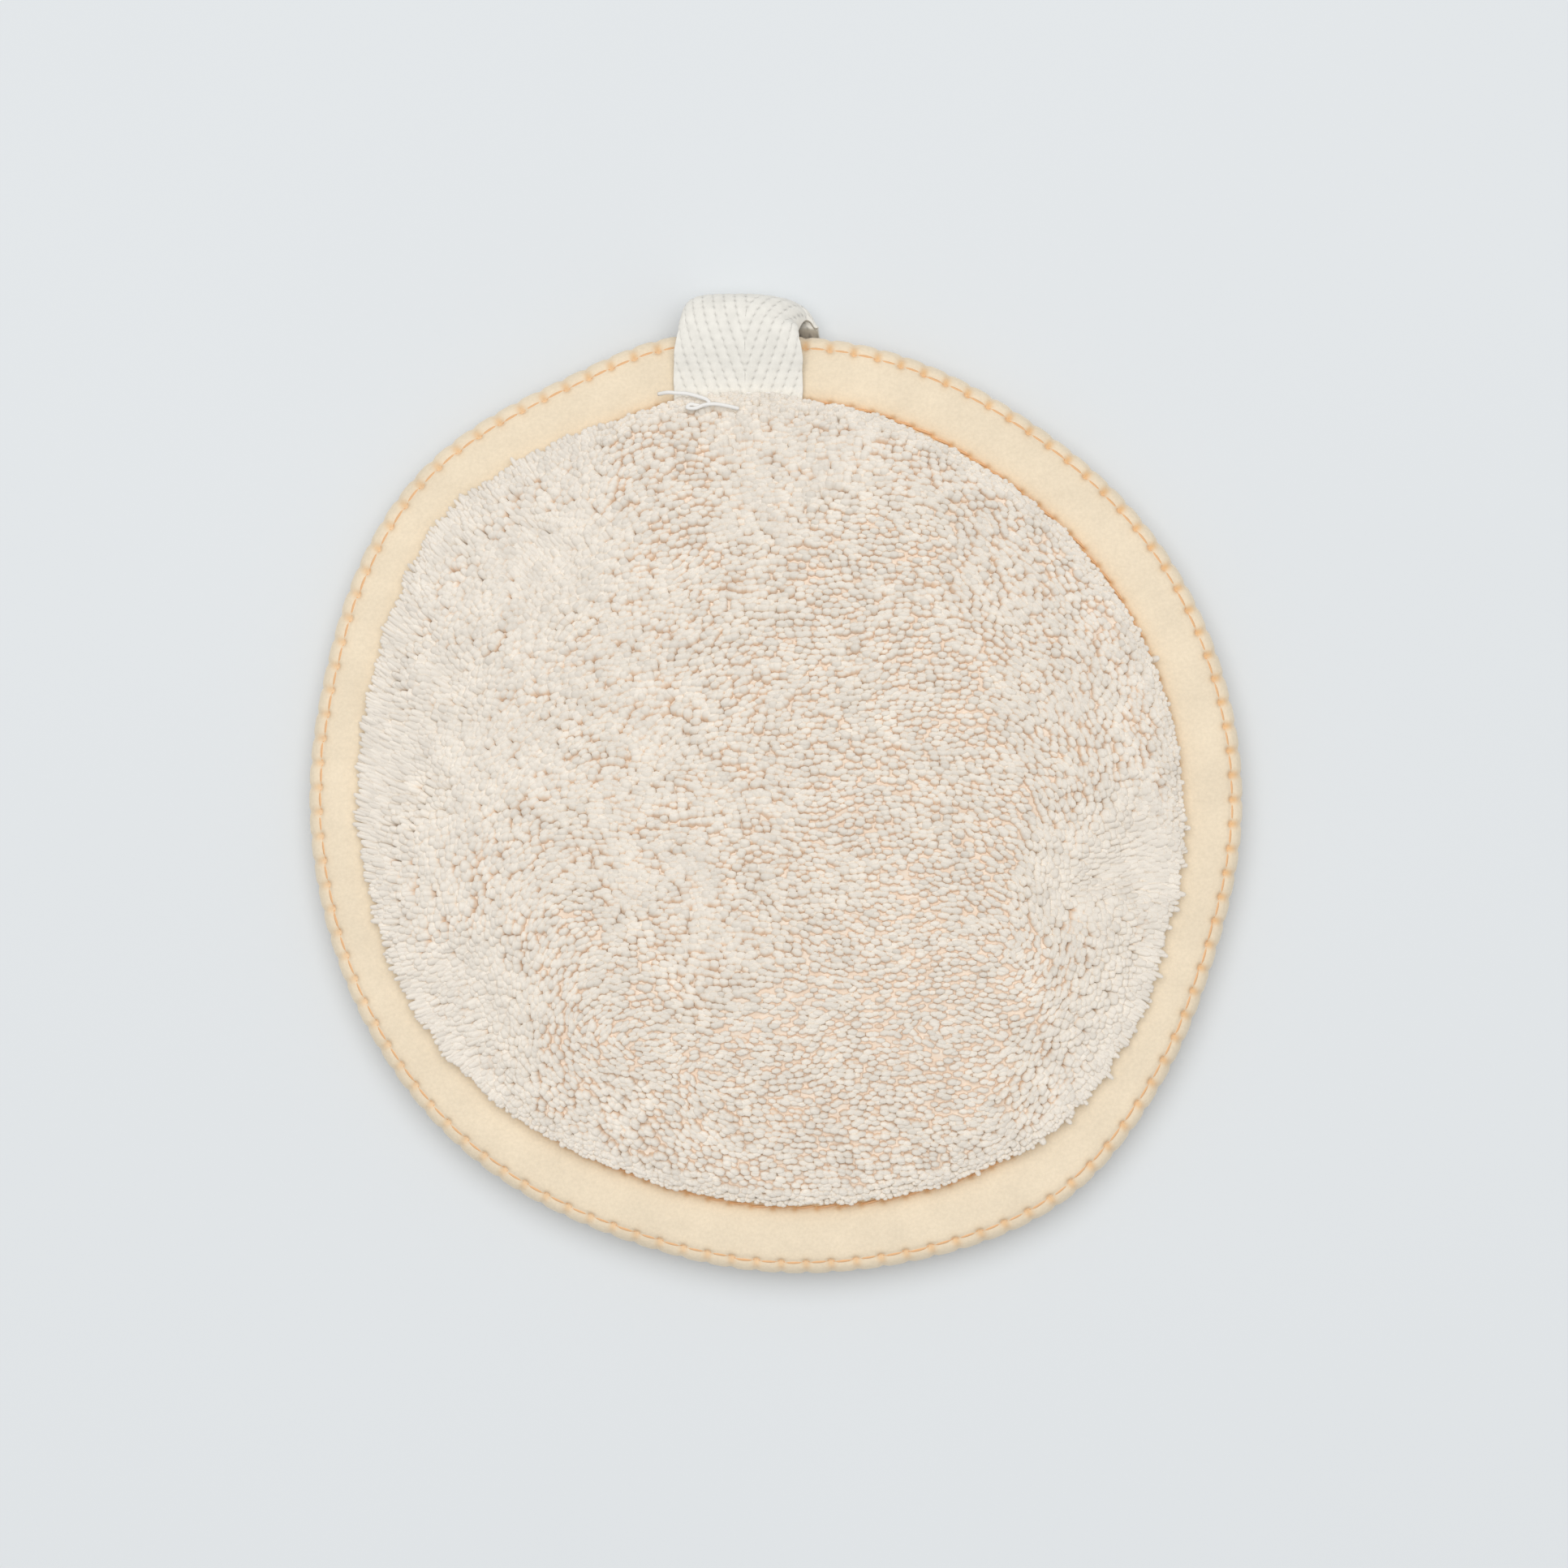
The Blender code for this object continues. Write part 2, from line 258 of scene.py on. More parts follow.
def volume_of(points, faces):
    """Signed volume of a closed mesh of equal-sided faces: a sum over fans from each first corner."""
    total = 0.0
    for i in range(1, faces.shape[1] - 1):
        a, b, c = points[faces[:, 0]], points[faces[:, i]], points[faces[:, i + 1]]
        total += float(np.einsum("ij,ij->i", a, np.cross(b, c)).sum())
    return total / 6


def make_mesh(name, points, face_groups, values=None, corners_uv=None):
    """Object from points and arrays of faces, with smooth shading and per-point values."""
    mesh = bpy.data.meshes.new(name)
    sizes = np.concatenate([np.full(len(f), f.shape[1]) for f in face_groups])
    loops = np.concatenate([f.ravel() for f in face_groups])
    mesh.vertices.add(len(points))
    mesh.vertices.foreach_set("co", np.asarray(points, np.float32).ravel())
    mesh.loops.add(len(loops))
    mesh.loops.foreach_set("vertex_index", loops.astype(np.int32))
    mesh.polygons.add(len(sizes))
    starts = np.concatenate([[0], np.cumsum(sizes)[:-1]])
    mesh.polygons.foreach_set("loop_start", starts.astype(np.int32))
    mesh.update(calc_edges=True)
    for key, value in (values or {}).items():
        layer = mesh.attributes.new(key, "FLOAT", "POINT")
        layer.data.foreach_set("value", np.asarray(value, np.float32).ravel())
    if corners_uv is not None:
        layer = mesh.uv_layers.new(name="fibre")
        layer.data.foreach_set("uv", corners_uv[loops].astype(np.float32).ravel())
    mesh.validate()
    mesh.shade_smooth()
    obj = bpy.data.objects.new(name, mesh)
    bpy.context.scene.collection.objects.link(obj)
    return obj


def grid_faces(rows, columns, wrap_rows=False, wrap_columns=False):
    """Quads of a grid of points numbered row by row."""
    i = np.arange(rows if wrap_rows else rows - 1)[:, None]
    j = np.arange(columns if wrap_columns else columns - 1)[None, :]
    below, right = (i + 1) % rows, (j + 1) % columns
    quads = [i * columns + j, i * columns + right, below * columns + right, below * columns + j]
    return np.stack(np.broadcast_arrays(*quads), axis=-1).reshape(-1, 4)


def unit(vectors):
    """Vectors divided by their lengths."""
    return vectors / np.maximum(np.linalg.norm(vectors, axis=-1, keepdims=True), 1e-12)


def tube_mesh(name, paths, radii, across, sides, values=None, widening=1.0):
    """Closed oval tubes along paths of shape (tubes, rings, 3).

    Each ring is its path point plus radius times (cosine along the normal that is square to
    `across`, sine times the widening along `across`). One flat face closes each end.
    """
    tubes, rings = paths.shape[:2]
    tangent = unit(np.gradient(paths, axis=1))
    side = unit(np.cross(tangent, np.broadcast_to(across, paths.shape)))
    other = np.cross(tangent, side)
    turn = np.arange(sides) * TAU / sides
    circle = np.cos(turn)[:, None] * side[:, :, None]
    circle = circle + (np.sin(turn)[:, None] * other[:, :, None]) * widening
    points = paths[:, :, None] + radii[:, :, None, None] * circle
    step = rings * sides
    first = np.arange(tubes)[:, None] * step
    walls = grid_faces(rings, sides, wrap_columns=True)
    wall_faces = (first[:, :, None] + walls[None]).reshape(-1, 4)
    start_caps = first + np.arange(sides)[::-1]
    end_caps = first + step - sides + np.arange(sides)
    flat_values = {}
    for key, value in (values or {}).items():
        flat_values[key] = np.repeat(np.broadcast_to(value, (tubes, rings)).ravel(), sides)
    along = np.broadcast_to(np.linspace(0, 1, rings)[None, :, None], (tubes, rings, sides))
    around = np.broadcast_to(turn / TAU, (tubes, rings, sides))
    pick = np.arange(tubes)[:, None, None] * 0.37 + around
    uv = np.stack([pick, along], axis=-1).reshape(-1, 2)
    groups = [wall_faces, start_caps, end_caps]
    return make_mesh(name, points.reshape(-1, 3), groups, flat_values, uv)


def dress(obj, material, body, replaced=()):
    """Gives a finished piece its material, the body that it rides on and what it stands for."""
    obj.data.materials.clear()
    obj.data.materials.append(material)
    if body:
        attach(obj, body)
    if replaced:
        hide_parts(*replaced)
    return obj


# ---------------------------------------------------------------- materials


def add_node(tree, kind, inputs=None, **settings):
    """Adds a node, sets its settings, and sets or links its inputs by name or number."""
    node = tree.nodes.new(kind)
    for key, value in settings.items():
        setattr(node, key, value)
    for key, value in (inputs or {}).items():
        if isinstance(value, bpy.types.NodeSocket):
            tree.links.new(value, node.inputs[key])
        else:
            node.inputs[key].default_value = value
    return node


def new_group(name, inputs, outputs):
    """Node group with float, vector or colour sockets: returns it, its input and output nodes."""
    group = bpy.data.node_groups.new(name, "ShaderNodeTree")
    for way, sockets in (("INPUT", inputs), ("OUTPUT", outputs)):
        for title, kind, value in sockets:
            made = group.interface.new_socket(title, in_out=way, socket_type=f"NodeSocket{kind}")
            if value is not None:
                made.default_value = value
    return group, group.nodes.new("NodeGroupInput"), group.nodes.new("NodeGroupOutput")


def add_noise(tree, place, scale, detail):
    inputs = {"Vector": place, "Scale": scale, "Detail": detail}
    return add_node(tree, "ShaderNodeTexNoise", inputs).outputs["Fac"]


def add_math(tree, operation, first, second):
    return add_node(tree, "ShaderNodeMath", {0: first, 1: second}, operation=operation).outputs[0]


def rescaled(tree, value, span, result, **settings):
    """A value carried from one span to another along a straight line, or as settings say."""
    limits = {"From Min": span[0], "From Max": span[1], "To Min": result[0], "To Max": result[1]}
    node = add_node(tree, "ShaderNodeMapRange", {"Value": value, **limits}, **settings)
    return node.outputs["Result"]


def brightened(tree, colour, gain):
    """Colour times a gain."""
    inputs = {0: colour, "Scale": gain}
    return add_node(tree, "ShaderNodeVectorMath", inputs, operation="SCALE").outputs[0]


def grain_group():
    """Fine fibre grain: two noises of unlike size, mixed into one height around a half."""
    group, entry, out = new_group(
        "fibre_grain",
        [("Vector", "Vector", None), ("Scale", "Float", 1000.0), ("Finer", "Float", 3.0)],
        [("Height", "Float", None)],
    )
    place, scale, finer = (entry.outputs[title] for title in ("Vector", "Scale", "Finer"))
    broad = add_noise(group, place, scale, 2.0)
    fine = add_noise(group, place, add_math(group, "MULTIPLY", scale, finer), 2.0)
    both = add_node(group, "ShaderNodeMix", {"Factor": 0.45, "A": broad, "B": fine})
    group.links.new(both.outputs["Result"], out.inputs["Height"])
    return group


def dye_group():
    """Uneven dye: a colour made lighter or darker by slow noise."""
    group, entry, out = new_group(
        "uneven_dye",
        [
            ("Vector", "Vector", None), ("Colour", "Color", (1.0, 1.0, 1.0, 1.0)),
            ("Scale", "Float", 200.0), ("Amount", "Float", 0.1),
        ],
        [("Colour", "Color", None)],
    )
    noise = add_noise(group, entry.outputs["Vector"], entry.outputs["Scale"], 3.0)
    low = add_math(group, "SUBTRACT", 1.0, entry.outputs["Amount"])
    high = add_math(group, "ADD", 1.0, entry.outputs["Amount"])
    gain = rescaled(group, noise, (0.3, 0.7), (low, high))
    tinted = brightened(group, entry.outputs["Colour"], gain)
    group.links.new(tinted, out.inputs["Colour"])
    return group


def new_material(name):
    """Empty Principled material: returns it, its tree and its shader node."""
    material = bpy.data.materials.new(name)
    material.use_nodes = True
    tree = material.node_tree
    return material, tree, tree.nodes["Principled BSDF"]


def object_place(tree):
    return add_node(tree, "ShaderNodeTexCoord").outputs["Object"]


def point_value(tree, name):
    """Value stored at the mesh's points under this name."""
    return add_node(tree, "ShaderNodeAttribute", attribute_name=name).outputs["Fac"]


def fibre_place(tree, scale):
    """Place along and round a lock or a thread, stretched by the scale."""
    fibre = add_node(tree, "ShaderNodeUVMap", uv_map="fibre").outputs["UV"]
    return add_node(tree, "ShaderNodeMapping", {"Vector": fibre, "Scale": scale}).outputs["Vector"]


def mixed(tree, factor, first, second):
    """Blend from the first colour to the second by the factor."""
    colours = {6: as_colour(first), 7: as_colour(second)}
    node = add_node(tree, "ShaderNodeMix", {"Factor": factor, **colours}, data_type="RGBA")
    return node.outputs[2]


def as_colour(value):
    """A colour with full alpha; a socket stays as it is."""
    return value if isinstance(value, bpy.types.NodeSocket) else (*value, 1.0)


def dyed(tree, place, colour, scale, amount):
    """Colour after the shared uneven dye, at a scale and an amount of its own."""
    group = bpy.data.node_groups.get("uneven_dye") or dye_group()
    inputs = {"Vector": place, "Colour": as_colour(colour), "Scale": scale, "Amount": amount}
    return add_node(tree, "ShaderNodeGroup", inputs, node_tree=group).outputs["Colour"]


def grained(tree, place, scale, finer):
    """Height of the shared fibre grain, at a scale of its own."""
    group = bpy.data.node_groups.get("fibre_grain") or grain_group()
    inputs = {"Vector": place, "Scale": scale, "Finer": finer}
    return add_node(tree, "ShaderNodeGroup", inputs, node_tree=group).outputs["Height"]


def set_bump(tree, shader, height, strength, distance):
    inputs = {"Height": height, "Strength": strength, "Distance": distance}
    bump = add_node(tree, "ShaderNodeBump", inputs)
    tree.links.new(bump.outputs["Normal"], shader.inputs["Normal"])


def set_finish(tree, shader, colour, roughness, specular=0.5, sheen=0.0, sheen_roughness=0.5,
               sheen_tint=(1.0, 1.0, 1.0)):
    """Links the base colour and sets what is the same all over on the shader's own sockets."""
    tree.links.new(colour, shader.inputs["Base Color"])
    shader.inputs["Roughness"].default_value = roughness
    shader.inputs["Specular IOR Level"].default_value = specular
    shader.inputs["Sheen Weight"].default_value = sheen
    shader.inputs["Sheen Roughness"].default_value = sheen_roughness
    shader.inputs["Sheen Tint"].default_value = as_colour(sheen_tint)


def pile_material(settings):
    """Painted shade, warm and darker at the roots, pale at the tips, with fibre streaks along each
    lock and a soft sheen.
    """
    material, tree, shader = new_material("cut_pile")
    # Painted shade: the lower a point stands in the pile, the nearer its colour comes to the root
    # shade colour.
    depth = rescaled(
        tree, point_value(tree, "along"), (-0.10, 0.75), (0.0, 1.0),
        interpolation_type="SMOOTHSTEP",
    )
    base = mixed(tree, depth, settings.root_shade_colour, settings.tip_colour)
    gain = rescaled(tree, point_value(tree, "tint"), (-1.0, 1.0), (0.93, 1.06))
    colour = dyed(tree, object_place(tree), brightened(tree, base, gain), 260.0, 0.05)
    streaks = grained(tree, fibre_place(tree, (9.0, 1.6, 1.0)), 1.6, 2.4)
    set_bump(tree, shader, streaks, 0.6, 0.08 * MM)
    set_finish(tree, shader, colour, 0.85, 0.2, 0.6, 0.6, (1.0, 0.90, 0.80))
    return material


def ground_material(settings):
    """Knitted ground under the pile, coloured with painted shade from the root shade colour up to the
    tip colour, with a fine loop grain.
    """
    material, tree, shader = new_material("knitted_ground")
    place = object_place(tree)
    base = mixed(tree, point_value(tree, "tone_and_shade"), settings.root_shade_colour, settings.tip_colour)
    set_bump(tree, shader, grained(tree, place, 1500.0, 3.0), 0.7, 0.1 * MM)
    set_finish(tree, shader, dyed(tree, place, base, 500.0, 0.08), 0.95)
    return material


def velour_material(settings):
    """Brushed nap: pale yellow, deepening to orange in the needle holes and along the rows: painted
    shade with some thread colour.
    """
    material, tree, shader = new_material("brushed_velour")
    place = object_place(tree)
    base = mixed(tree, point_value(tree, "thread_and_shade"), settings.colour, settings.thread_and_shade_colour)
    slow = dyed(tree, place, base, 150.0, 0.04)
    set_bump(tree, shader, grained(tree, place, 1800.0, 2.6), 0.5, 0.12 * MM)
    colour = dyed(tree, place, slow, 2600.0, 0.04)
    set_finish(tree, shader, colour, 0.9, 0.15, 0.45, 0.45, (1.0, 0.95, 0.86))
    return material


def thread_material(name, colour, shine):
    """Twisted thread: fine slanted plies along it, with painted shade between them, and a slight
    gloss.
    """
    material, tree, shader = new_material(name)
    slanted = {"Vector": fibre_place(tree, (1.0, 5.0, 1.0)), "Scale": 0.6, "Distortion": 0.8}
    plies = add_node(tree, "ShaderNodeTexWave", slanted, bands_direction="DIAGONAL").outputs["Fac"]
    # Painted shade: the colour darkens to 0.78 in the grooves between the plies.
    shaded = mixed(tree, plies, [0.78 * part for part in colour], colour)
    set_bump(tree, shader, plies, 0.5, 0.06 * MM)
    colour = dyed(tree, object_place(tree), shaded, 700.0, 0.06)
    set_finish(tree, shader, colour, 1.0 - shine, sheen=0.2)
    return material


def tape_material(settings):
    """Cotton yarns: painted shade, darker where the weave dips, with a fine hairy grain."""
    material, tree, shader = new_material("herringbone_cotton")
    place = object_place(tree)
    # Painted shade in the weave's dips.
    dip_shade = [0.60 * part for part in settings.colour]
    base = mixed(tree, point_value(tree, "lift"), dip_shade, settings.colour)
    set_bump(tree, shader, grained(tree, place, 3500.0, 2.5), 0.35, 0.08 * MM)
    set_finish(tree, shader, dyed(tree, place, base, 900.0, 0.05), 0.85, 0.25, 0.15)
    return material


def floor_material(settings):
    """Smooth matt board with a barely visible grain."""
    material, tree, shader = new_material("pale_board")
    colour = dyed(tree, object_place(tree), settings.floor_colour, 12.0, 0.006)
    set_finish(tree, shader, colour, 0.6, 0.2)
    return material


def shared_material(name, build, *args):
    return bpy.data.materials.get(name) or build(*args)


# ---------------------------------------------------------------- pile

# Where a lock's rings stand, as shares of its length, and its radius at each: blunt inside the
# face, and pointed at its rim.
RINGS = np.array([0.0, 0.40, 0.70, 0.87, 0.96, 1.0])
BLUNT = np.array([0.80, 0.95, 1.0, 0.98, 0.84, 0.50])
POINTED = np.array([0.75, 0.86, 0.90, 0.80, 0.60, 0.26])

# How the nap has been combed: centre and radius in millimetres, the way it leans in degrees
# counter-clockwise from +X, and how far it leans, from 0, upright, to 1, flat.
COMBED_PATCHES = (
    (-44, 2, 13, 160, 0.95),
    (-33, 26, 13, 140, 0.85),
    (-36, -24, 12, 205, 0.90),
    (-14, 14, 13, 105, 0.62),
    (-14, -12, 14, 85, 0.68),
    (8, 18, 14, 95, 0.45),
    (12, -8, 12, 75, 0.40),
    (0, 40, 9, 95, 0.75),
    (30, 30, 12, 50, 0.55),
    (41, 10, 9, 25, 0.60),
    (38, -12, 9, 8, 0.95),
    (36, -28, 9, -35, 0.90),
    (24, -22, 9, 150, 0.20),
    (6, -40, 12, 265, 0.35),
    (-18, -40, 9, 235, 0.60),
)

# Height of the locks' roots over the middle plane, how far in from the binding's inner edge the
# outermost root stands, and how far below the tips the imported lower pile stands.
ROOT_RISE = 1.35 * MM
ROOT_INSET = 0.35 * MM
BED_DEPTH = 0.52 * MM

# Where the cloths' margins end, in from the folded edge, and where their inner faces lie.
MARGIN_INSET = FOLD_RISE + 0.2 * MM
CLOTH_INNER = 0.12 * MM

# The back's pile is cut a little shorter than the front's.
BACK_SHARE = 0.92

# How far the outermost locks hang over the binding, in millimetres, at angles in degrees.
RIM_SPILL = (
    (0, 1.2), (15, 0.8), (30, 0.2), (60, 0.1), (80, 0.2), (94, 1.0), (108, 1.0), (125, 2.2),
    (140, 3.8), (158, 3.4), (185, 3.2), (212, 2.9), (228, 1.2), (250, 0.4), (275, 0.1),
    (300, 0.5), (322, 2.6), (340, 2.4),
)


def combed_lean(x, y):
    """Sideways reach of the nap per unit length, as (x, y): a weighted mean over the patches."""
    weight = np.full(x.shape, 0.05)
    lean_x, lean_y = np.zeros_like(x), np.zeros_like(x)
    for centre_x, centre_y, radius, way, amount in COMBED_PATCHES:
        far = np.hypot(x / MM - centre_x, y / MM - centre_y) / radius
        near = np.exp(-far * far)
        weight += near
        lean_x += near * amount * np.cos(radians(way))
        lean_y += near * amount * np.sin(radians(way))
    return lean_x / weight, lean_y / weight


def nap_lean(x, y, side):
    """Combed lean seen from this side, with slow waves of 5 mm added to it."""
    lean_x, lean_y = combed_lean(side * x, y)
    lean_x = side * lean_x + 0.15 * soft_noise(x, y, 4.5 * MM, 41)
    return lean_x, lean_y + 0.15 * soft_noise(x, y, 4.5 * MM, 42)


def pile_wall(angle):
    """Radius of the outermost roots at an angle."""
    return ring_radius(angle, bpy.context.scene.plush_pad.binding.reach + ROOT_INSET)


def face_length(side):
    """Length of the pile on the front or the back."""
    length = bpy.context.scene.plush_pad.pile.length
    return length if side > 0 else length * BACK_SHARE


def face_seed(side):
    seed = bpy.context.scene.plush_pad.pile.seed
    return seed if side > 0 else seed + 50


def rim_spill(x, y, side):
    """How far the nearest rim locks hang over the binding, and the way to them in degrees."""
    turns, spill = np.array(RIM_SPILL, float).T
    way = np.degrees(np.arctan2(y, side * x))
    return np.interp(way, turns, spill, period=360.0) * MM, way


def nap_field(x, y, side):
    """Lean as (x, y), pile length and nearness to the rim at points of one face.

    Nearness falls off as exp(-distance / reach) from the wall; there the locks shorten and turn
    outward until they hang over the binding as far as they should.
    """
    seed = face_seed(side)
    angle = np.arctan2(y, x)
    from_wall = pile_wall(angle) - np.hypot(x, y)
    lean_x, lean_y = nap_lean(x, y, side)
    hang, way = rim_spill(x, y, side)
    hang = hang * (1 + 0.22 * soft_noise(x, y, 2.2 * MM, seed + 5)) + 0.75 * MM
    near_rim = np.exp(-np.maximum(from_wall, 0) / (0.9 * MM + 0.40 * hang))
    length = face_length(side) * (1 + 0.07 * soft_noise(x, y, 9 * MM, seed + 6))
    length = length * (1 - 0.26 * near_rim) + near_rim * 0.45 * hang
    outward = np.clip(hang / length, 0, 0.92)
    astray = angle - 0.40 * side * np.exp(-(((way % 360 - 185) / 45) ** 2))
    lean_x = lean_x * (1 - near_rim) + near_rim * outward * np.cos(astray)
    lean_y = lean_y * (1 - near_rim) + near_rim * outward * np.sin(astray)
    return lean_x, lean_y, length, near_rim


def nap_parting(x, y, side):
    """Share by which the tips spread apart: the pile's length times the divergence of its lean."""
    step = 0.5 * MM
    across = nap_lean(x + step, y, side)[0] - nap_lean(x - step, y, side)[0]
    along = nap_lean(x, y + step, side)[1] - nap_lean(x, y - step, side)[1]
    return face_length(side) * (across + along) / (2 * step)


def knit_points(settings, spacing, side, rng):
    """Roots of the locks: rows of tufts, each with its own shift, and rings along the wall."""
    half = MEAN_RADIUS * 1.1
    columns = np.arange(-half, half, settings.wale * spacing)
    rows = np.arange(-half, half, settings.course * spacing)
    x, y = np.meshgrid(columns, rows, indexing="ij")
    x = x + settings.wale * spacing * rng.uniform(0, 1, len(rows))[None, :]
    x, y = x.ravel(), y.ravel()
    x = x + rng.normal(0, 0.10, x.shape) * settings.wale + 0.5 * MM * soft_noise(x, y, 9 * MM, 5)
    y = y + rng.normal(0, 0.14, y.shape) * settings.course + 0.9 * MM * soft_noise(x, y, 7 * MM, 6)
    y = y + 0.26 * MM * soft_noise(x, y, 1.9 * MM, 7)
    inside = np.hypot(x, y) < pile_wall(np.arctan2(y, x))
    x, y = x[inside], y[inside]
    lying = np.hypot(*nap_lean(x, y, side)) > rng.uniform(0.45, 0.85, x.shape)
    parted = nap_parting(x, y, side) > rng.uniform(0.12, 0.45, x.shape)
    sparse = lying | parted
    between_x = x + settings.wale * spacing * rng.uniform(0.35, 0.65, x.shape)
    between_y = y + settings.course * spacing * rng.uniform(-0.4, 0.4, x.shape) * parted
    roots = [(x, y), (between_x[sparse], between_y[sparse])]
    for inward, count in ((0.3 * MM, 700), (0.8 * MM, 620), (1.4 * MM, 540)):
        angle = (np.arange(count) + rng.uniform(-0.3, 0.3, count)) * TAU / count
        radius = pile_wall(angle) - inward
        roots.append((radius * np.cos(angle), radius * np.sin(angle)))
    return np.concatenate(roots, axis=1)


def clump_pull(x, y, cell, seed):
    """Vector from each point to its clump's centre, and the clump's number.

    The clumps are the cells of a square lattice warped by slow noise, each centre off its middle.
    """
    table = np.random.default_rng(seed).uniform(0.2, 0.8, (64, 64, 2))
    warp = 0.35 * cell
    wx = x + warp * soft_noise(x, y, 2.3 * cell, seed + 1)
    wy = y + warp * soft_noise(x, y, 2.3 * cell, seed + 2)
    column, row = np.floor(wx / cell).astype(int), np.floor(wy / cell).astype(int)
    centre_x, centre_y = table[column % 64, row % 64].T
    number = column * 31 + row
    return (column + centre_x) * cell - wx, (row + centre_y) * cell - wy, number


def bending(length, lean):
    """How far a leaning lock reaches sideways and up at its rings.

    It starts upright and turns over with the square root of its share of the length; each
    ring adds its own step along that direction.
    """
    full_turn = np.arcsin(np.minimum(lean, 0.95)) * 1.35
    turn = full_turn[..., None] * np.sqrt((RINGS[1:] + RINGS[:-1]) / 2)
    turn = np.minimum(turn, radians(96))
    step = length[..., None] * np.diff(RINGS)
    start = np.zeros((*lean.shape, 1))
    sideways = np.concatenate([start, np.cumsum(step * np.sin(turn), axis=-1)], axis=-1)
    upward = np.concatenate([start, np.cumsum(step * np.cos(turn), axis=-1)], axis=-1)
    return sideways, upward


def lock_paths(settings, side, spacing, rng):
    """Centre lines of the locks on one face.

    side is 1 on the front and -1 on the back. A lock starts upright at its root and turns over
    towards its lean; its points add up equal steps along that turning direction.
    """
    seed = face_seed(side)
    x, y = knit_points(settings, spacing, side, rng)
    lean_x, lean_y, length, near_rim = nap_field(x, y, side)
    length = length * (1 + rng.normal(0, 0.03, x.shape))
    standing = bending(length, np.hypot(lean_x, lean_y))[1][:, -1]
    standing = standing + rng.normal(0, 0.05 * MM, x.shape)
    standing = standing + 0.07 * MM * soft_noise(x, y, 1.3 * MM, seed + 8)
    lean_x = lean_x + 0.05 * soft_noise(x, y, 1.7 * MM, seed + 2)
    lean_y = lean_y + 0.07 * soft_noise(x, y, 1.7 * MM, seed + 4)
    pull_x, pull_y, clump = clump_pull(x, y, 2.0 * MM, seed + 7)
    grip = (0.06 + 0.06 * np.sin(clump * 2.4)) * (1 - 0.7 * near_rim)
    lean_x = lean_x + grip * pull_x / length + rng.normal(0, 0.03, x.shape)
    lean_y = lean_y + grip * pull_y / length + rng.normal(0, 0.04, x.shape)
    lean = np.hypot(lean_x, lean_y)
    away_x, away_y = lean_x / np.maximum(lean, 1e-6), lean_y / np.maximum(lean, 1e-6)
    lean = np.minimum(lean, 0.97)
    sideways, upward = bending(length, lean)
    upward = upward * (standing / upward[:, -1])[:, None]
    path_x = x[:, None] + sideways * away_x[:, None]
    path_y = y[:, None] + sideways * away_y[:, None]
    paths = np.stack([path_x, path_y, upward], axis=-1)
    steady = np.clip(1 - lean / 0.45, 0, 1) * np.where(away_y < 0, -1, 1)
    across = np.stack([-away_y - steady, away_x * (1 - abs(steady)), 0 * x], axis=-1)
    across = unit(across)[:, None, :]
    tint = np.clip(rng.normal(0, 0.45, x.shape) + 0.4 * np.sin(clump * 1.7), -1, 1)
    return paths, across, tint, near_rim, lean


def lock_radii(settings, near_rim, lying, rng, fullness):
    """Radius along a lock: the blunt profile, blended into the pointed one towards the rim."""
    profile = BLUNT + near_rim[:, None] * (POINTED - BLUNT)
    size = settings.belly * fullness * (1 + rng.normal(0, 0.10, len(near_rim)))
    size = size * (1 - 0.16 * near_rim) * (1 - 0.16 * lying)
    return size[:, None] * profile


def settle(paths, radii, side):
    """Lifts the locks onto the ground cloth and keeps them clear of the binding and the table."""
    z = MID_Z + side * (ROOT_RISE + paths[..., 2])
    radius = np.hypot(paths[..., 0], paths[..., 1])
    reach = bpy.context.scene.plush_pad.binding.reach
    over = radius > ring_radius(np.arctan2(paths[..., 1], paths[..., 0]), reach + 0.3 * MM)
    lying = MID_Z + side * (FOLD_RISE + 0.10 * MM + 0.6 * radii)
    if side > 0:
        z = np.where(over, np.maximum(z, lying), z)
    else:
        z = np.where(over, np.minimum(z, lying), z)
        z = np.maximum(z, TABLE_Z + radii)
    paths[..., 2] = z


def pile_pieces(name, settings, side, spacing, sectors, sides, fullness, material):
    """Locks of one face, shared out between pieces by sector so that none is too heavy."""
    rng = np.random.default_rng(face_seed(side))
    paths, across, tint, near_rim, lean = lock_paths(settings, side, spacing, rng)
    lying = smooth_step(lean, 0.72, 0.95)
    radii = lock_radii(settings, near_rim, lying, rng, fullness)
    widening = (1.75 - 0.55 * lying) * (1 - near_rim) + 1.4 * near_rim
    widening = widening[:, None, None, None]
    settle(paths, radii, side)
    bed, _ = bed_height(paths[..., 0], paths[..., 1], side)
    # Share of the way from the ground cloth up to the tips; the pile's material paints shade with it,
    # darker and warmer low down.
    along = np.clip((side * (paths[..., 2] - MID_Z) - bed) / BED_DEPTH, 0, 1)
    angle = np.arctan2(paths[:, 0, 1], paths[:, 0, 0]) % TAU
    order = np.argsort(angle, kind="stable")
    pieces = []
    for number, chosen in enumerate(np.array_split(order, sectors), start=1):
        piece = tube_mesh(
            f"{name}_{number}", paths[chosen], radii[chosen], across[chosen], sides,
            {"along": along[chosen], "tint": tint[chosen][:, None]}, widening[chosen],
        )
        pieces.append(dress(piece, material, "pad"))
    return pieces


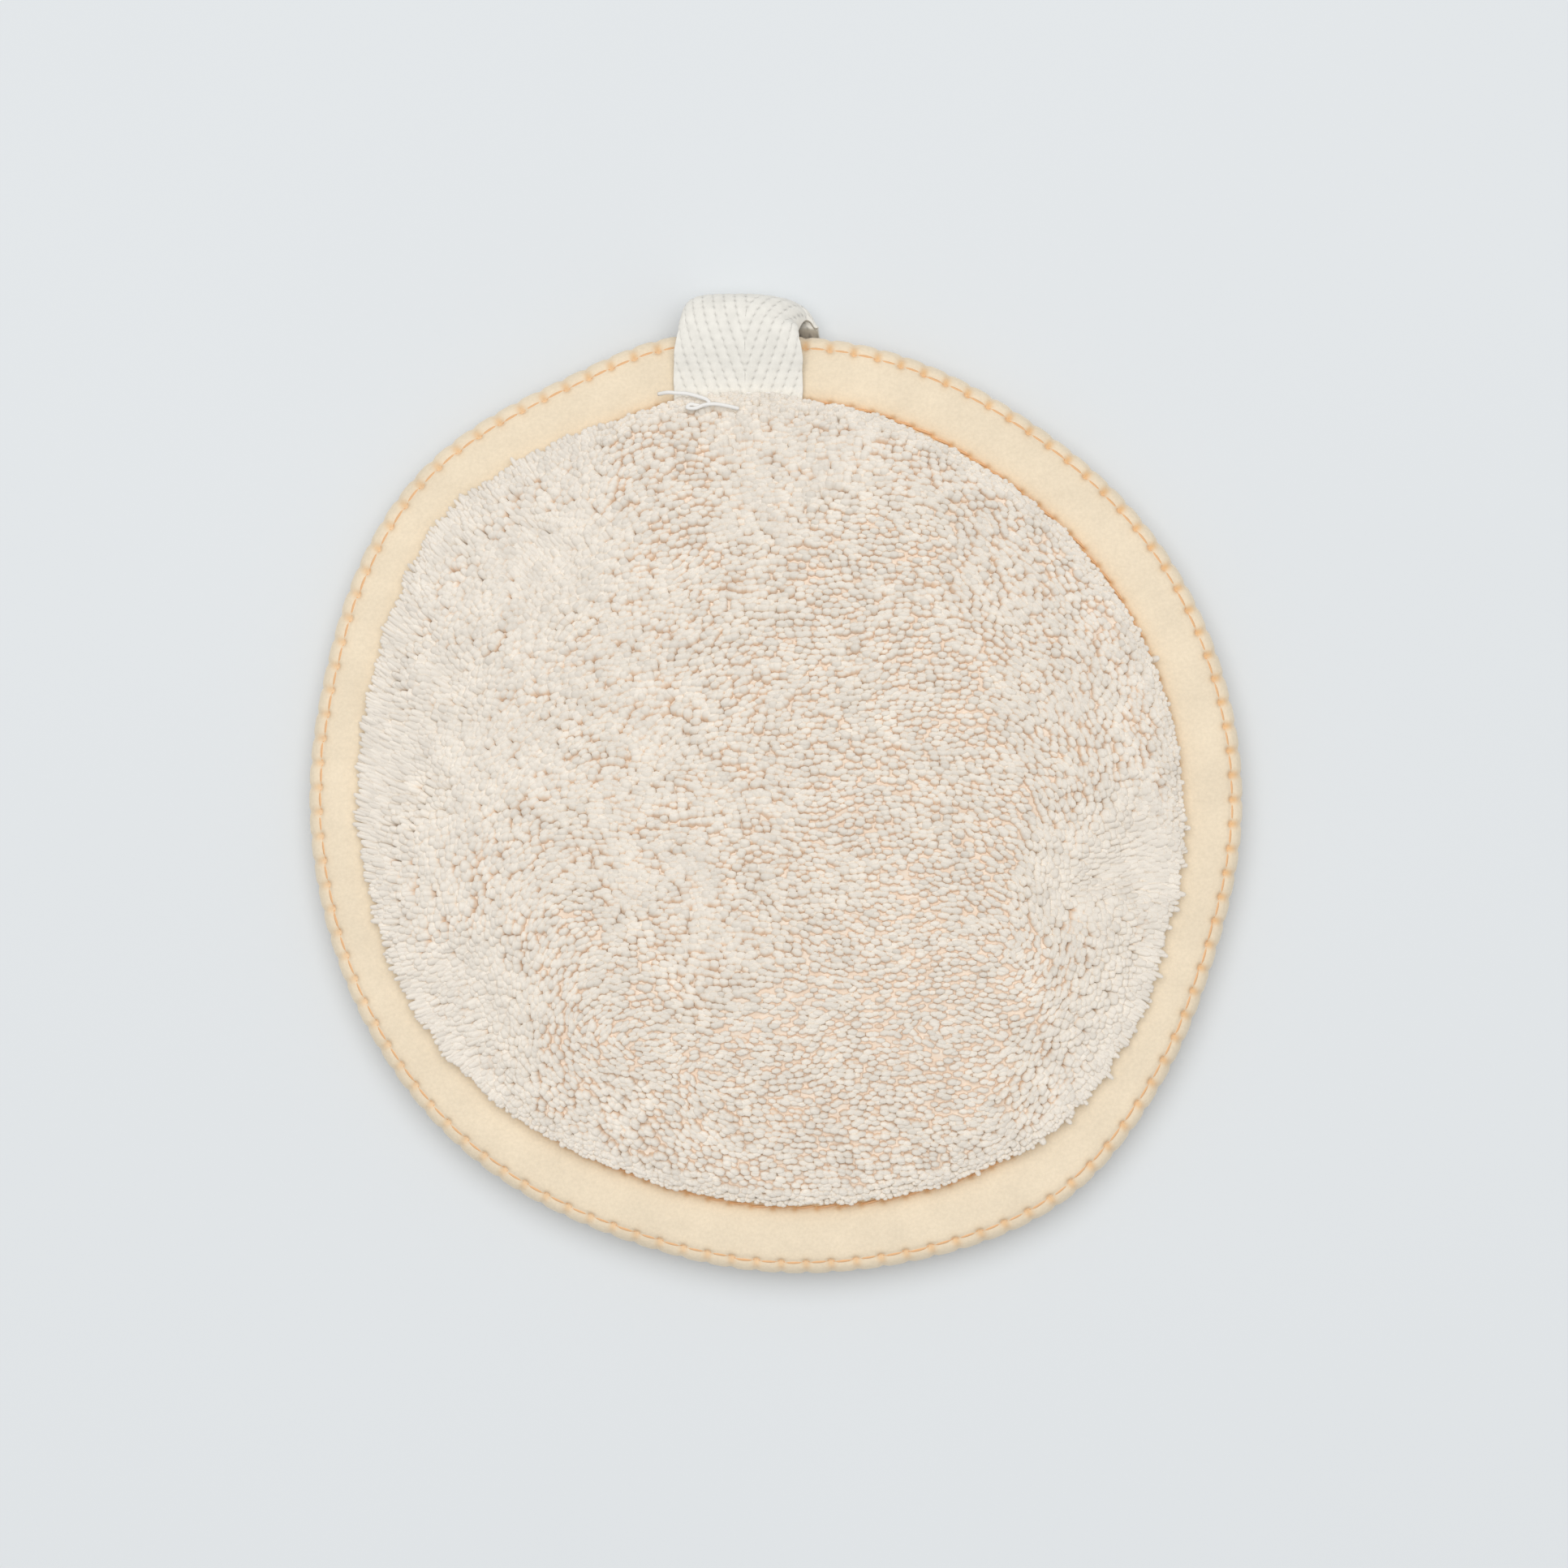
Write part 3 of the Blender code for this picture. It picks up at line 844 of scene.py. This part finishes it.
def canopy_height(x, y, side):
    """Height of the tips lying over a point, and the lean there.

    Locks rooted up to 3.2 mm back along the lean may reach over it; the lowest that do counts.
    """
    lean_x, lean_y, length, _ = nap_field(x, y, side)
    lean = np.hypot(lean_x, lean_y)
    away_x = lean_x / np.maximum(lean, 1e-6)
    away_y = lean_y / np.maximum(lean, 1e-6)
    low = bending(length, lean)[1][..., -1]
    for back in (0.8 * MM, 1.6 * MM, 2.4 * MM, 3.2 * MM):
        root_x, root_y, root_length, _ = nap_field(x - back * away_x, y - back * away_y, side)
        reach, height = bending(root_length, np.hypot(root_x, root_y))
        over = reach[..., -1] > back - 0.4 * MM
        low = np.where(over, np.minimum(low, height[..., -1]), low)
    return low, lean


def bed_height(x, y, side):
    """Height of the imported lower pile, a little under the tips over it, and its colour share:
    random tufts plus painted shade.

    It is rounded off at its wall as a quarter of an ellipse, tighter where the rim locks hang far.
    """
    reach = bpy.context.scene.plush_pad.binding.reach
    tips, lean = canopy_height(x, y, side)
    from_wall = ring_radius(np.arctan2(y, x), reach) - np.hypot(x, y)
    hang, _ = rim_spill(x, y, side)
    rounding = 1.7 * MM - 1.3 * MM * smooth_step(hang, 0, 2.5 * MM)
    short = np.clip(1 - from_wall / rounding, 0, 1)
    tufts = soft_noise(x, y, 0.8 * MM, 3) + 0.6 * soft_noise(x, y, 0.45 * MM, 4)
    # Painted shade: a low share gives the root shade colour; random tufts vary it, and there is less
    # shade where the locks lie flat.
    tone_and_shade = 0.62 + 0.15 * tufts + 0.25 * smooth_step(lean, 0.35, 0.75)
    packed = (tips - BED_DEPTH + 0.08 * MM * tufts) * np.sqrt(1 - short**2)
    return ROOT_RISE + packed, tone_and_shade


def ground_cloth(name, side, material, node):
    """Knitted disc under the pile's packed lower part, with its margin inside the fold.

    A section of (share of the way out, height from the middle plane) turned about Z.
    """
    count = 480
    angles = np.arange(count) * TAU / count
    reach = bpy.context.scene.plush_pad.binding.reach
    wall = ring_radius(angles, reach)
    margin = ring_radius(angles, MARGIN_INSET)
    rings, tones_and_shades = [], []

    def add_ring(radius, height, tone_and_shade):
        z = np.broadcast_to(MID_Z + side * height, angles.shape)
        rings.append(np.stack([radius * np.cos(angles), radius * np.sin(angles), z], axis=-1))
        tones_and_shades.append(np.broadcast_to(tone_and_shade, angles.shape))

    for share in np.linspace(0.01, 0.998, 92):
        radius = wall * share
        height, tone_and_shade = bed_height(radius * np.cos(angles), radius * np.sin(angles), side)
        add_ring(radius, height, tone_and_shade)
    # The wall, the margin and the cloth's inner face take the full painted shade colour (share 0).
    add_ring(wall, 1.1 * MM, 0.0)
    add_ring(margin, 1.05 * MM, 0.0)
    add_ring(margin, CLOTH_INNER, 0.0)
    for share in (1.0, 0.66, 0.33, 0.02):
        add_ring(wall * share, CLOTH_INNER, 0.0)
    points = np.concatenate(rings)
    poles = np.array([[0, 0, rings[0][:, 2].mean()], [0, 0, MID_Z + side * CLOTH_INNER]])
    walls = grid_faces(len(rings), count, wrap_columns=True)[:, ::-1]
    ring = np.arange(count)
    after = (ring + 1) % count
    first, last = len(points), len(points) + 1
    low = (len(rings) - 1) * count
    top = np.stack([np.full(count, first), ring, after], axis=-1)
    bottom = np.stack([np.full(count, last), low + after, low + ring], axis=-1)
    points = np.concatenate([points, poles])
    if volume_of(points, walls) + volume_of(points, top) + volume_of(points, bottom) < 0:
        walls, top, bottom = walls[:, ::-1], top[:, ::-1], bottom[:, ::-1]
    tone_and_shade = np.concatenate([np.concatenate(tones_and_shades), [0.5, 0.0]])
    disc = make_mesh(name, points, [walls, top, bottom], {"tone_and_shade": tone_and_shade})
    return dress(disc, material, "pad", (node,))


class PAD_OT_plush(bpy.types.Operator):
    """Builds both ground cloths and the locks of cut pile on them"""

    bl_idname = "pad.plush"
    bl_label = "Plush faces"

    def execute(self, context):
        settings = context.scene.plush_pad.pile
        pile = shared_material("cut_pile", pile_material, settings)
        ground = shared_material("knitted_ground", ground_material, settings)
        front = ground_cloth("front_ground_cloth", 1, ground, "front_cloth")
        back = ground_cloth("back_ground_cloth", -1, ground, "back_cloth")
        front_pile = pile_pieces(
            "front_pile", settings, 1, spacing=1.0, sectors=8, sides=6, fullness=1.0, material=pile
        )
        back_pile = pile_pieces(
            "back_pile", settings, -1, spacing=1.38, sectors=4, sides=5, fullness=1.34, material=pile
        )
        return {"FINISHED"}


# ---------------------------------------------------------------- edge binding

UP = np.array([0.0, 0.0, 1.0])

# Phase of the inner row's needle holes after the outer row's, as a share of a stitch.
INNER_SHIFT = 0.35


def row_holes(angle, stitches, shift=0.0):
    """Distance along the edge from the nearest needle hole, and that hole's phase from 0 to 1."""
    phase = (angle * stitches / TAU + shift) % 1.0
    return np.minimum(phase, 1 - phase) * TAU * MEAN_RADIUS / stitches, phase


def binding_section(front, back):
    """Outer face of the strip as (inset, height), from the front's inner edge to the back's.

    The flats run level from the inner edge to the fold, and the fold is half an ellipse.
    """
    reach = bpy.context.scene.plush_pad.binding.reach
    fold = FOLD_RISE

    def half(count):
        inset = reach * np.linspace(1, 0, count) ** 1.12
        inside = np.clip((fold - inset) / fold, 0, 1)
        height = 0.97 * fold * np.sqrt(1 - inside**2.1)
        tuck = np.clip((inset - (reach - 0.45 * MM)) / (0.45 * MM), 0, 1)
        return inset, height - 0.75 * MM * tuck**2

    front_inset, front_height = half(front)
    back_inset, back_height = half(back)
    inset = np.concatenate([front_inset, back_inset[::-1][1:]])
    height = np.concatenate([front_height, -back_height[::-1][1:]])
    return inset, height


def bell(away, width):
    """One at no distance, falling as exp(-(distance / width) squared)."""
    return np.exp(-((away / width) ** 2))


def binding_relief(angle, inset, height, settings):
    """How far the strip stands out of its plain section, and its share of painted shade, with some
    thread colour, at the stitches.

    Grooves along both rows deepen at each needle hole; between the rows the strip puffs up;
    outside the outer row it bulges in a lobe between holes; faint wrinkles run across it.
    """
    front = height >= 0
    outer_far, outer_phase = row_holes(angle, settings.stitches)
    inner_far, _ = row_holes(angle, settings.stitches, INNER_SHIFT)
    from_outer, from_inner = inset - settings.outer_row, inset - settings.inner_row
    outer_line = bell(from_outer, 0.34 * MM)
    inner_line = bell(from_inner, 0.34 * MM)
    outer_hole = bell(outer_far, 0.42 * MM)
    inner_hole = bell(inner_far, 0.36 * MM)
    depth = np.where(front, 1.0, 0.6)
    relief = -depth * outer_line * (0.12 + 0.54 * outer_hole) * MM
    relief -= depth * inner_line * (0.22 + 0.38 * inner_hole) * MM
    between = np.clip(from_outer / (settings.inner_row - settings.outer_row), 0, 1)
    puff = np.sin(pi * between) ** 0.8
    lobes = bell(between, 0.22) * 0.08 * np.cos(TAU * outer_phase)
    relief += (0.16 * puff - lobes * puff) * MM
    rim = np.clip((settings.outer_row - inset) / settings.outer_row, 0, 1)
    relief += np.sin(pi / 2 * rim) * (0.06 - 0.20 * outer_hole) * MM
    run = angle * MEAN_RADIUS
    wrinkle = soft_noise(run, inset * 0.35, 2.6 * MM, 21) + 0.6 * soft_noise(run, inset, 1.1 * MM, 22)
    relief += 0.07 * MM * wrinkle * puff
    relief += 0.018 * MM * soft_noise(run, inset, 0.32 * MM, 23)
    # Painted shade, partly the thread's colour: orange spots in the needle holes and bands along both
    # rows, stronger towards 30 degrees round the edge and weaker on the back face.
    outer_spot = bell(inset - 0.8 * settings.outer_row, 0.75 * MM) * bell(outer_far, 0.48 * MM)
    inner_spot = bell(from_inner, 0.5 * MM) * inner_hole
    tone_and_shade = 0.20 * bell(from_inner, 1.1 * MM) + 0.06 * bell(from_outer, 1.0 * MM)
    hole_shade_strength = 0.62 + 0.18 * np.cos(angle - radians(30))
    thread_and_shade = hole_shade_strength * outer_spot + 0.22 * inner_line + 0.50 * inner_spot + tone_and_shade
    return relief, np.clip(thread_and_shade * np.where(front, 1.0, 0.8), 0, 1)


def binding_point(angle, inset, height, relief, slope_in, slope_up):
    """Places (inset, height) at an angle, pushed out by the relief along the section's normal."""
    radius = ring_radius(angle, inset - relief * slope_in)
    z = MID_Z + height + relief * slope_up
    place = (radius * np.cos(angle), radius * np.sin(angle), z)
    return np.stack(np.broadcast_arrays(*place), axis=-1)


def section_normal(inset, height):
    """Unit normal of the section: how far out (towards the edge) and how far up it points."""
    along_in, along_up = np.gradient(-inset), np.gradient(height)
    length = np.hypot(along_in, along_up)
    return -along_up / length, along_in / length


def binding_surface(angle, inset, height, settings):
    """Points and painted stitch shade of the binding's outer face on a grid of angles by section
    points.
    """
    out, up = section_normal(inset, height)
    grid_angle = angle[:, None]
    relief, thread_and_shade = binding_relief(grid_angle, inset[None, :], height[None, :], settings)
    points = binding_point(
        np.broadcast_to(grid_angle, relief.shape), inset, height, relief, out, up
    )
    return points, thread_and_shade


class PAD_OT_binding(bpy.types.Operator):
    """Builds the puffed velour strip that is folded over the edge"""

    bl_idname = "pad.binding"
    bl_label = "Edge binding"

    def execute(self, context):
        settings = context.scene.plush_pad.binding
        angles = np.arange(settings.stitches * 12) * TAU / (settings.stitches * 12)
        inset, height = binding_section(42, 23)
        outside, thread_and_shade = binding_surface(angles, inset, height, settings)
        hidden = np.array([
            (settings.reach, -0.97 * MM), (FOLD_RISE * 0.9, -1.2 * MM), (FOLD_RISE * 0.55, 0.0),
            (FOLD_RISE * 0.9, 1.2 * MM), (settings.reach, 0.97 * MM),
        ])
        level = np.zeros(len(hidden))
        inside = binding_point(
            np.broadcast_to(angles[:, None], (len(angles), len(hidden))),
            hidden[:, 0], hidden[:, 1], level, level, level,
        )
        points = np.concatenate([outside, inside], axis=1)
        threads_and_shades = np.concatenate([thread_and_shade, np.zeros(inside.shape[:2])], axis=1)
        faces = grid_faces(len(angles), points.shape[1], wrap_rows=True, wrap_columns=True)
        flat = points.reshape(-1, 3)
        if volume_of(flat, faces) < 0:
            faces = faces[:, ::-1]
        strip = make_mesh("velour_binding", flat, [faces], {"thread_and_shade": threads_and_shades.ravel()})
        velour = shared_material("brushed_velour", velour_material, settings)
        dress(strip, velour, "pad", ("edge_binding",))
        return {"FINISHED"}


# ---------------------------------------------------------------- stitches


def surface_at(angle, inset, settings, front=True):
    """Points of the binding's face at matching arrays of angle and inset."""
    section_inset, section_height = binding_section(160, 160)
    half = len(section_inset) // 2
    keep = slice(0, half + 1) if front else slice(half, None)
    line_inset, line_height = section_inset[keep], section_height[keep]
    out, up = section_normal(line_inset, line_height)
    order = np.argsort(line_inset)
    height, out, up = (
        np.interp(inset, line_inset[order], column[order]) for column in (line_height, out, up)
    )
    relief, _ = binding_relief(angle, inset, height, settings)
    return binding_point(angle, inset, height, relief, out, up)


def stitch_row(name, inset, shift, slant, lift, sink, settings, material, node):
    """Row of stitches: each arcs from one needle hole to the next and dives in at both ends."""
    rng = np.random.default_rng(int(inset / MM * 100))
    count, rings = settings.stitches, 8
    share = np.linspace(0.0, 1.0, rings)[None, :]
    number = np.arange(count)[:, None]
    angle = (number + share - shift) * TAU / count
    wander = rng.normal(0, 0.05 * MM, (count, 1))
    insets = inset + slant * (share - 0.5) + wander
    paths = surface_at(angle, insets, settings)
    arch = np.sin(pi * share) ** 0.6
    paths[..., 2] += lift * arch - sink * (1 - arch)
    radii = settings.thread * (0.8 + 0.25 * arch) * (1 + rng.normal(0, 0.05, (count, 1)))
    row = tube_mesh(name, paths, radii, UP, 6)
    return dress(row, material, "pad", (node,))


class PAD_OT_stitches(bpy.types.Operator):
    """Sews both needle rows on the front and the looper's lacing on the back"""

    bl_idname = "pad.stitches"
    bl_label = "Edge stitches"

    def execute(self, context):
        settings = context.scene.plush_pad.binding
        peach = shared_material(
            "peach_thread", thread_material, "peach_thread", settings.thread_colour, 0.35
        )
        stitch_row(
            "outer_stitches", settings.outer_row, 0.0, 0.10 * MM, -0.04 * MM, 0.30 * MM,
            settings, peach, "outer_needle_thread",
        )
        stitch_row(
            "inner_stitches", settings.inner_row, INNER_SHIFT, 0.30 * MM, 0.20 * MM, 0.30 * MM,
            settings, peach, "inner_needle_thread",
        )
        self.lace_back(settings, peach)
        return {"FINISHED"}

    @staticmethod
    def lace_back(settings, material):
        """Looper thread: a leg from each inner hole out to the outer row, and one back."""
        count, rings = settings.stitches, 9
        share = np.linspace(0.0, 1.0, rings)[None, :]
        number = np.arange(count)[:, None]
        reach = settings.inner_row - settings.outer_row
        eased = share * share * (3 - 2 * share)
        legs = []
        for start, inset in (
            (INNER_SHIFT, settings.inner_row - reach * eased),
            (INNER_SHIFT + 0.5, settings.outer_row + reach * eased),
        ):
            angle = (number + start + 0.5 * share) * TAU / count
            insets = np.broadcast_to(inset, angle.shape)
            leg = surface_at(angle, insets, settings, front=False)
            leg[..., 2] -= 0.12 * MM + 0.1 * MM * np.sin(pi * share)
            legs.append(leg)
        paths = np.concatenate(legs)
        radii = np.full(paths.shape[:2], settings.thread)
        lacing = tube_mesh("looper_lacing", paths, radii, UP, 5)
        dress(lacing, material, "pad", ("looper_thread",))


# ---------------------------------------------------------------- hanging loop

TAPE_WIDTH = 15.0 * MM
TAPE_SKEW = float(TAPE_HIGH.x - TAPE_LOW.x) - TAPE_WIDTH
TAPE_MIDDLE = TAPE_LOW.x + TAPE_WIDTH / 2

# Height over the middle plane at which the tape's sewn legs lie on the binding.
LEG_RISE = FOLD_RISE + 0.12 * MM


def tape_line(count, settings):
    """Middle line of the tape in its own plane, as evenly spaced (y, z), the share of the way
    round its bight, and the distance along it.

    The legs lie on the binding, and the bight is half of a squared-off ellipse.
    """
    half = settings.thickness / 2
    leg_height = LEG_RISE + half
    top_height = (TAPE_HIGH.z - TAPE_LOW.z) / 2 - half
    edge_y = float(edge_radius(radians(94.5)) * np.sin(radians(94.5)))
    depth = TAPE_HIGH.y - half - edge_y - 0.3 * MM
    turn = np.radians(np.linspace(90, -90, 61))
    out = np.maximum(np.cos(turn), 0) ** (2 / 2.4)
    rise = np.sign(np.sin(turn)) * np.abs(np.sin(turn)) ** (2 / 2.4)
    leg_y = np.linspace(TAPE_LOW.y, edge_y - 0.4 * MM, 24)
    climb = smooth_step(leg_y, SEAM_Y + 0.5 * MM, edge_y - 0.4 * MM)
    leg_z = leg_height + (top_height - leg_height) * climb
    y = np.concatenate([leg_y, edge_y + depth * out, leg_y[::-1]])
    z = np.concatenate([leg_z, top_height * rise, -leg_z[::-1]])
    share = np.concatenate([np.zeros(24), np.linspace(0, 1, 61), np.ones(24)])
    length = np.concatenate([[0], np.cumsum(np.hypot(np.diff(y), np.diff(z)))])
    even = np.linspace(0, length[-1], count)
    return [np.interp(even, length, column) for column in (y, z, share)] + [even]


def herringbone(across, along, settings):
    """Height of a herringbone weave from 0 to 1.

    Grooves climb outwards from the tape's middle by one pick for each warp yarn, four yarns
    apart. Each dips deepest where a warp yarn goes under a pick, and every yarn is a fine ridge.
    """
    yarn = np.abs(across - 0.8 * MM) / settings.warp
    ridge = np.abs(np.sin(pi * yarn))
    pick = along / settings.pick
    turn = ((pick - yarn) / 4) % 1.0
    away = np.minimum(turn, 1 - turn) * 4 * settings.warp
    groove = np.exp(-((away / (0.30 * MM)) ** 2))
    under = (0.5 + 0.5 * np.cos(TAU * pick)) ** 1.3
    return np.clip(0.90 + 0.10 * ridge - groove * (0.32 + 0.55 * under), 0, 1)


class PAD_OT_hanging_loop(bpy.types.Operator):
    """Weaves the herringbone tape and folds it over the edge"""

    bl_idname = "pad.hanging_loop"
    bl_label = "Hanging loop"

    def execute(self, context):
        settings = context.scene.plush_pad.tape
        rows, columns = 226, 207
        y, z, bight, along = tape_line(rows, settings)
        across = np.linspace(-0.5, 0.5, columns) * TAPE_WIDTH
        tangent_y, tangent_z = np.gradient(y), np.gradient(z)
        length = np.hypot(tangent_y, tangent_z)
        out_y, out_z = -tangent_z / length, tangent_y / length
        if out_z[0] < 0:
            out_y, out_z = -out_y, -out_z
        weave = herringbone(across[None, :], along[:, None], settings)
        selvedge = np.clip((np.abs(across) - (TAPE_WIDTH / 2 - 0.7 * MM)) / (0.7 * MM), 0, 1)
        weave = weave * (1 - 0.5 * selvedge) + 0.45 * selvedge
        grid = np.meshgrid(along, across, indexing="ij")
        ripple = 0.06 * MM * soft_noise(*grid, 3.1 * MM, 31)
        free = smooth_step(y, SEAM_Y + 3.5 * MM, TAPE_HIGH.y - 2.5 * MM)
        side = across / (TAPE_WIDTH / 2)
        curl = 0.8 * MM * np.abs(side[None, :]) ** 5 * free[:, None]
        reach_out = 0.16 * MM * (weave - 0.5) + ripple - curl
        skew = TAPE_SKEW * smooth_step(bight, 0.0, 1.0)
        edge_y = float(edge_radius(pi / 2))
        beyond = smooth_step(y, edge_y + 0.2 * MM, edge_y + 3.4 * MM)
        behind = smooth_step(bight, 0.35, 0.65)[:, None]
        raised = smooth_step(y, edge_y - 0.8 * MM, edge_y + 1.2 * MM)[:, None] * behind
        right = np.clip(side, 0, 1)[None, :]
        closing = 1 - 0.60 * beyond[:, None] * (1 - behind) * right ** 3
        closing = closing - 0.84 * raised * smooth_step(right, 0.15, 0.75)
        slope = beyond[:, None] * (0.8 * (1 - bight)[:, None] * right + 1.5 * right ** 3) * MM
        squeeze = 1.1 * MM * np.sign(side) * np.abs(side) ** 6
        x = TAPE_MIDDLE + across[None, :] + skew[:, None] - squeeze[None, :] * free[:, None]
        place_y = y[:, None] + out_y[:, None] * reach_out - slope
        place_z = MID_Z + (z[:, None] + out_z[:, None] * reach_out) * closing
        points = np.stack([x, place_y, place_z], axis=-1)
        faces = grid_faces(rows, columns)[:, ::-1]
        # The tape's material paints shade where this is low, in the weave's dips.
        lift = smooth_step(weave, 0.02, 0.85)
        tape = make_mesh("herringbone_tape", points.reshape(-1, 3), [faces], {"lift": lift.ravel()})
        wall = tape.modifiers.new("thickness", "SOLIDIFY")
        wall.thickness = settings.thickness * 0.8
        wall.offset = -1.0
        cotton = shared_material("herringbone_cotton", tape_material, settings)
        dress(tape, cotton, None, ("hanging_loop",))
        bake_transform(tape)
        return {"FINISHED"}


# ---------------------------------------------------------------- loop seam

# Loose tail of the seam thread, from the seam's left end, in millimetres: right, towards the
# loop, and up from the pile's rim.
THREAD_TAIL = (
    (-2.8, -0.2, 0.9), (-1.7, -0.1, 1.7), (-0.6, -0.2, 2.05), (0.6, -0.3, 2.2), (1.8, -0.6, 2.25),
    (2.9, -1.0, 2.2), (3.1, -1.5, 2.1), (2.2, -1.7, 2.0), (1.0, -1.5, 2.0), (0.6, -1.9, 2.1),
    (1.5, -2.0, 2.25), (2.6, -1.6, 2.3), (3.8, -1.5, 2.3), (5.2, -1.7, 2.2), (6.6, -2.0, 1.9),
)


def smooth_route(corners, count):
    """Evenly parted points on a smooth curve through a short list of points (Catmull-Rom)."""
    knots = np.asarray(corners, float)
    ends = np.concatenate([[2 * knots[0] - knots[1]], knots, [2 * knots[-1] - knots[-2]]])
    where = np.linspace(0, len(knots) - 1 - 1e-9, count)
    start = where.astype(int)
    t = (where - start)[:, None]
    a, b, c, d = (ends[start + k] for k in range(4))
    return 0.5 * (
        2 * b + (c - a) * t + (2 * a - 5 * b + 4 * c - d) * t**2 + (3 * b - a - 3 * c + d) * t**3
    )


class PAD_OT_loop_seam(bpy.types.Operator):
    """Sews the tape's legs down with white thread and leaves its tail loose"""

    bl_idname = "pad.loop_seam"
    bl_label = "Loop seam"

    def execute(self, context):
        tape = context.scene.plush_pad.tape
        thread = context.scene.plush_pad.binding.thread
        white = shared_material(
            "white_thread", thread_material, "white_thread", tape.thread_colour, 0.55
        )
        height = LEG_RISE + tape.thickness
        half = TAPE_WIDTH / 2 - 0.9 * MM
        share = np.linspace(0, 1, 7)[None, :]
        count = 6
        pitch = 2 * half / count
        arch = np.sin(pi * share)
        for name, side, shift, node in (
            ("loop_seam_front", 1, 0.0, "loop_seam_thread"),
            ("loop_seam_back", -1, TAPE_SKEW, "loop_seam_bobbin_thread"),
        ):
            x = TAPE_MIDDLE + shift - half + (np.arange(count)[:, None] + share) * pitch
            y = SEAM_Y + 0.1 * MM * (share - 0.5)
            z = MID_Z + side * (height - 0.12 * MM + 0.2 * MM * arch)
            paths = np.stack(np.broadcast_arrays(x, y, z), axis=-1)
            radii = np.broadcast_to(thread * (0.8 + 0.2 * arch), paths.shape[:2])
            seam = tube_mesh(name, paths, radii, UP, 6)
            dress(seam, white, "pad", (node,))
        start = np.array([TAPE_LOW.x + 1.0 * MM, SEAM_Y, MID_Z + height])
        route = smooth_route(start + np.array(THREAD_TAIL) * MM, 90)[None]
        radii = np.full(route.shape[:2], 1.5 * thread)
        tail = tube_mesh("loose_thread_tail", route, radii, UP, 8)
        dress(tail, white, "pad")
        return {"FINISHED"}


# ---------------------------------------------------------------- stage

# Half the floor's side, the soft lamp's width and place, the camera's sensor in millimetres, and
# the width in metres that its view takes in at the pad's middle plane.
FLOOR_HALF = 6.0
LAMP_WIDTH = 1.8
LAMP_PLACE = (-0.06, 0.34, 1.6)
SENSOR = 36.0
VIEW_WIDTH = 0.1845
VIEW_CENTRE = (1.05 * MM, 1.81 * MM)


class PAD_OT_stage(bpy.types.Operator):
    """Sets out the floor, the soft light and the camera straight above"""

    bl_idname = "pad.stage"
    bl_label = "Stage"

    def execute(self, context):
        settings = context.scene.plush_pad.stage
        scene = context.scene
        scene.view_settings.view_transform = "Standard"
        corners = FLOOR_HALF * np.array([[-1, -1], [1, -1], [1, 1], [-1, 1]])
        points = np.concatenate([corners, np.full((4, 1), TABLE_Z - 0.05 * MM)], axis=1)
        floor = make_mesh("floor", points, [np.array([[0, 1, 2, 3]])])
        floor.data.materials.append(shared_material("pale_board", floor_material, settings))
        world = bpy.data.worlds.new("even_light")
        world.use_nodes = True
        sky = world.node_tree.nodes["Background"]
        sky.inputs["Color"].default_value = (0.97, 0.985, 1.0, 1.0)
        sky.inputs["Strength"].default_value = settings.ambient
        scene.world = world
        lamp = bpy.data.lights.new("soft_key", "AREA")
        lamp.shape = "DISK"
        lamp.size = LAMP_WIDTH
        lamp.energy = settings.key
        key = bpy.data.objects.new("soft_key", lamp)
        key.location = LAMP_PLACE
        key.rotation_euler = (-key.location).to_track_quat("-Z", "Y").to_euler()
        scene.collection.objects.link(key)
        camera = bpy.data.cameras.new("camera")
        camera.lens = settings.focal
        camera.sensor_width = SENSOR
        view = bpy.data.objects.new("camera", camera)
        view.location = (*VIEW_CENTRE, MID_Z + VIEW_WIDTH * settings.focal / SENSOR)
        scene.collection.objects.link(view)
        scene.camera = view
        return {"FINISHED"}


# ---------------------------------------------------------------- panel and registration


class PAD_PT_panel(bpy.types.Panel):
    """Lists the pad's pieces and their sizes"""

    bl_idname = "PAD_PT_panel"
    bl_label = "Plush Pad"
    bl_space_type = "VIEW_3D"
    bl_region_type = "UI"
    bl_category = "Plush Pad"

    def draw(self, context):
        settings = context.scene.plush_pad
        for operator, group in PIECES:
            box = self.layout.box()
            box.operator(operator.bl_idname)
            for name in getattr(settings, group).__annotations__:
                box.prop(getattr(settings, group), name)


PIECES = (
    (PAD_OT_stage, "stage"),
    (PAD_OT_plush, "pile"),
    (PAD_OT_binding, "binding"),
    (PAD_OT_stitches, "binding"),
    (PAD_OT_hanging_loop, "tape"),
    (PAD_OT_loop_seam, "tape"),
)
CLASSES = (
    PileSettings, BindingSettings, TapeSettings, StageSettings, PadSettings,
    *(operator for operator, _ in PIECES), PAD_PT_panel,
)


def register():
    for cls in CLASSES:
        bpy.utils.register_class(cls)
    bpy.types.Scene.plush_pad = PointerProperty(type=PadSettings)


def unregister():
    del bpy.types.Scene.plush_pad
    for cls in reversed(CLASSES):
        bpy.utils.unregister_class(cls)


def main():
    register()
    bpy.ops.pad.stage()
    bpy.ops.pad.plush()
    bpy.ops.pad.binding()
    bpy.ops.pad.stitches()
    bpy.ops.pad.hanging_loop()
    bpy.ops.pad.loop_seam()


if __name__ == "__main__":
    main()
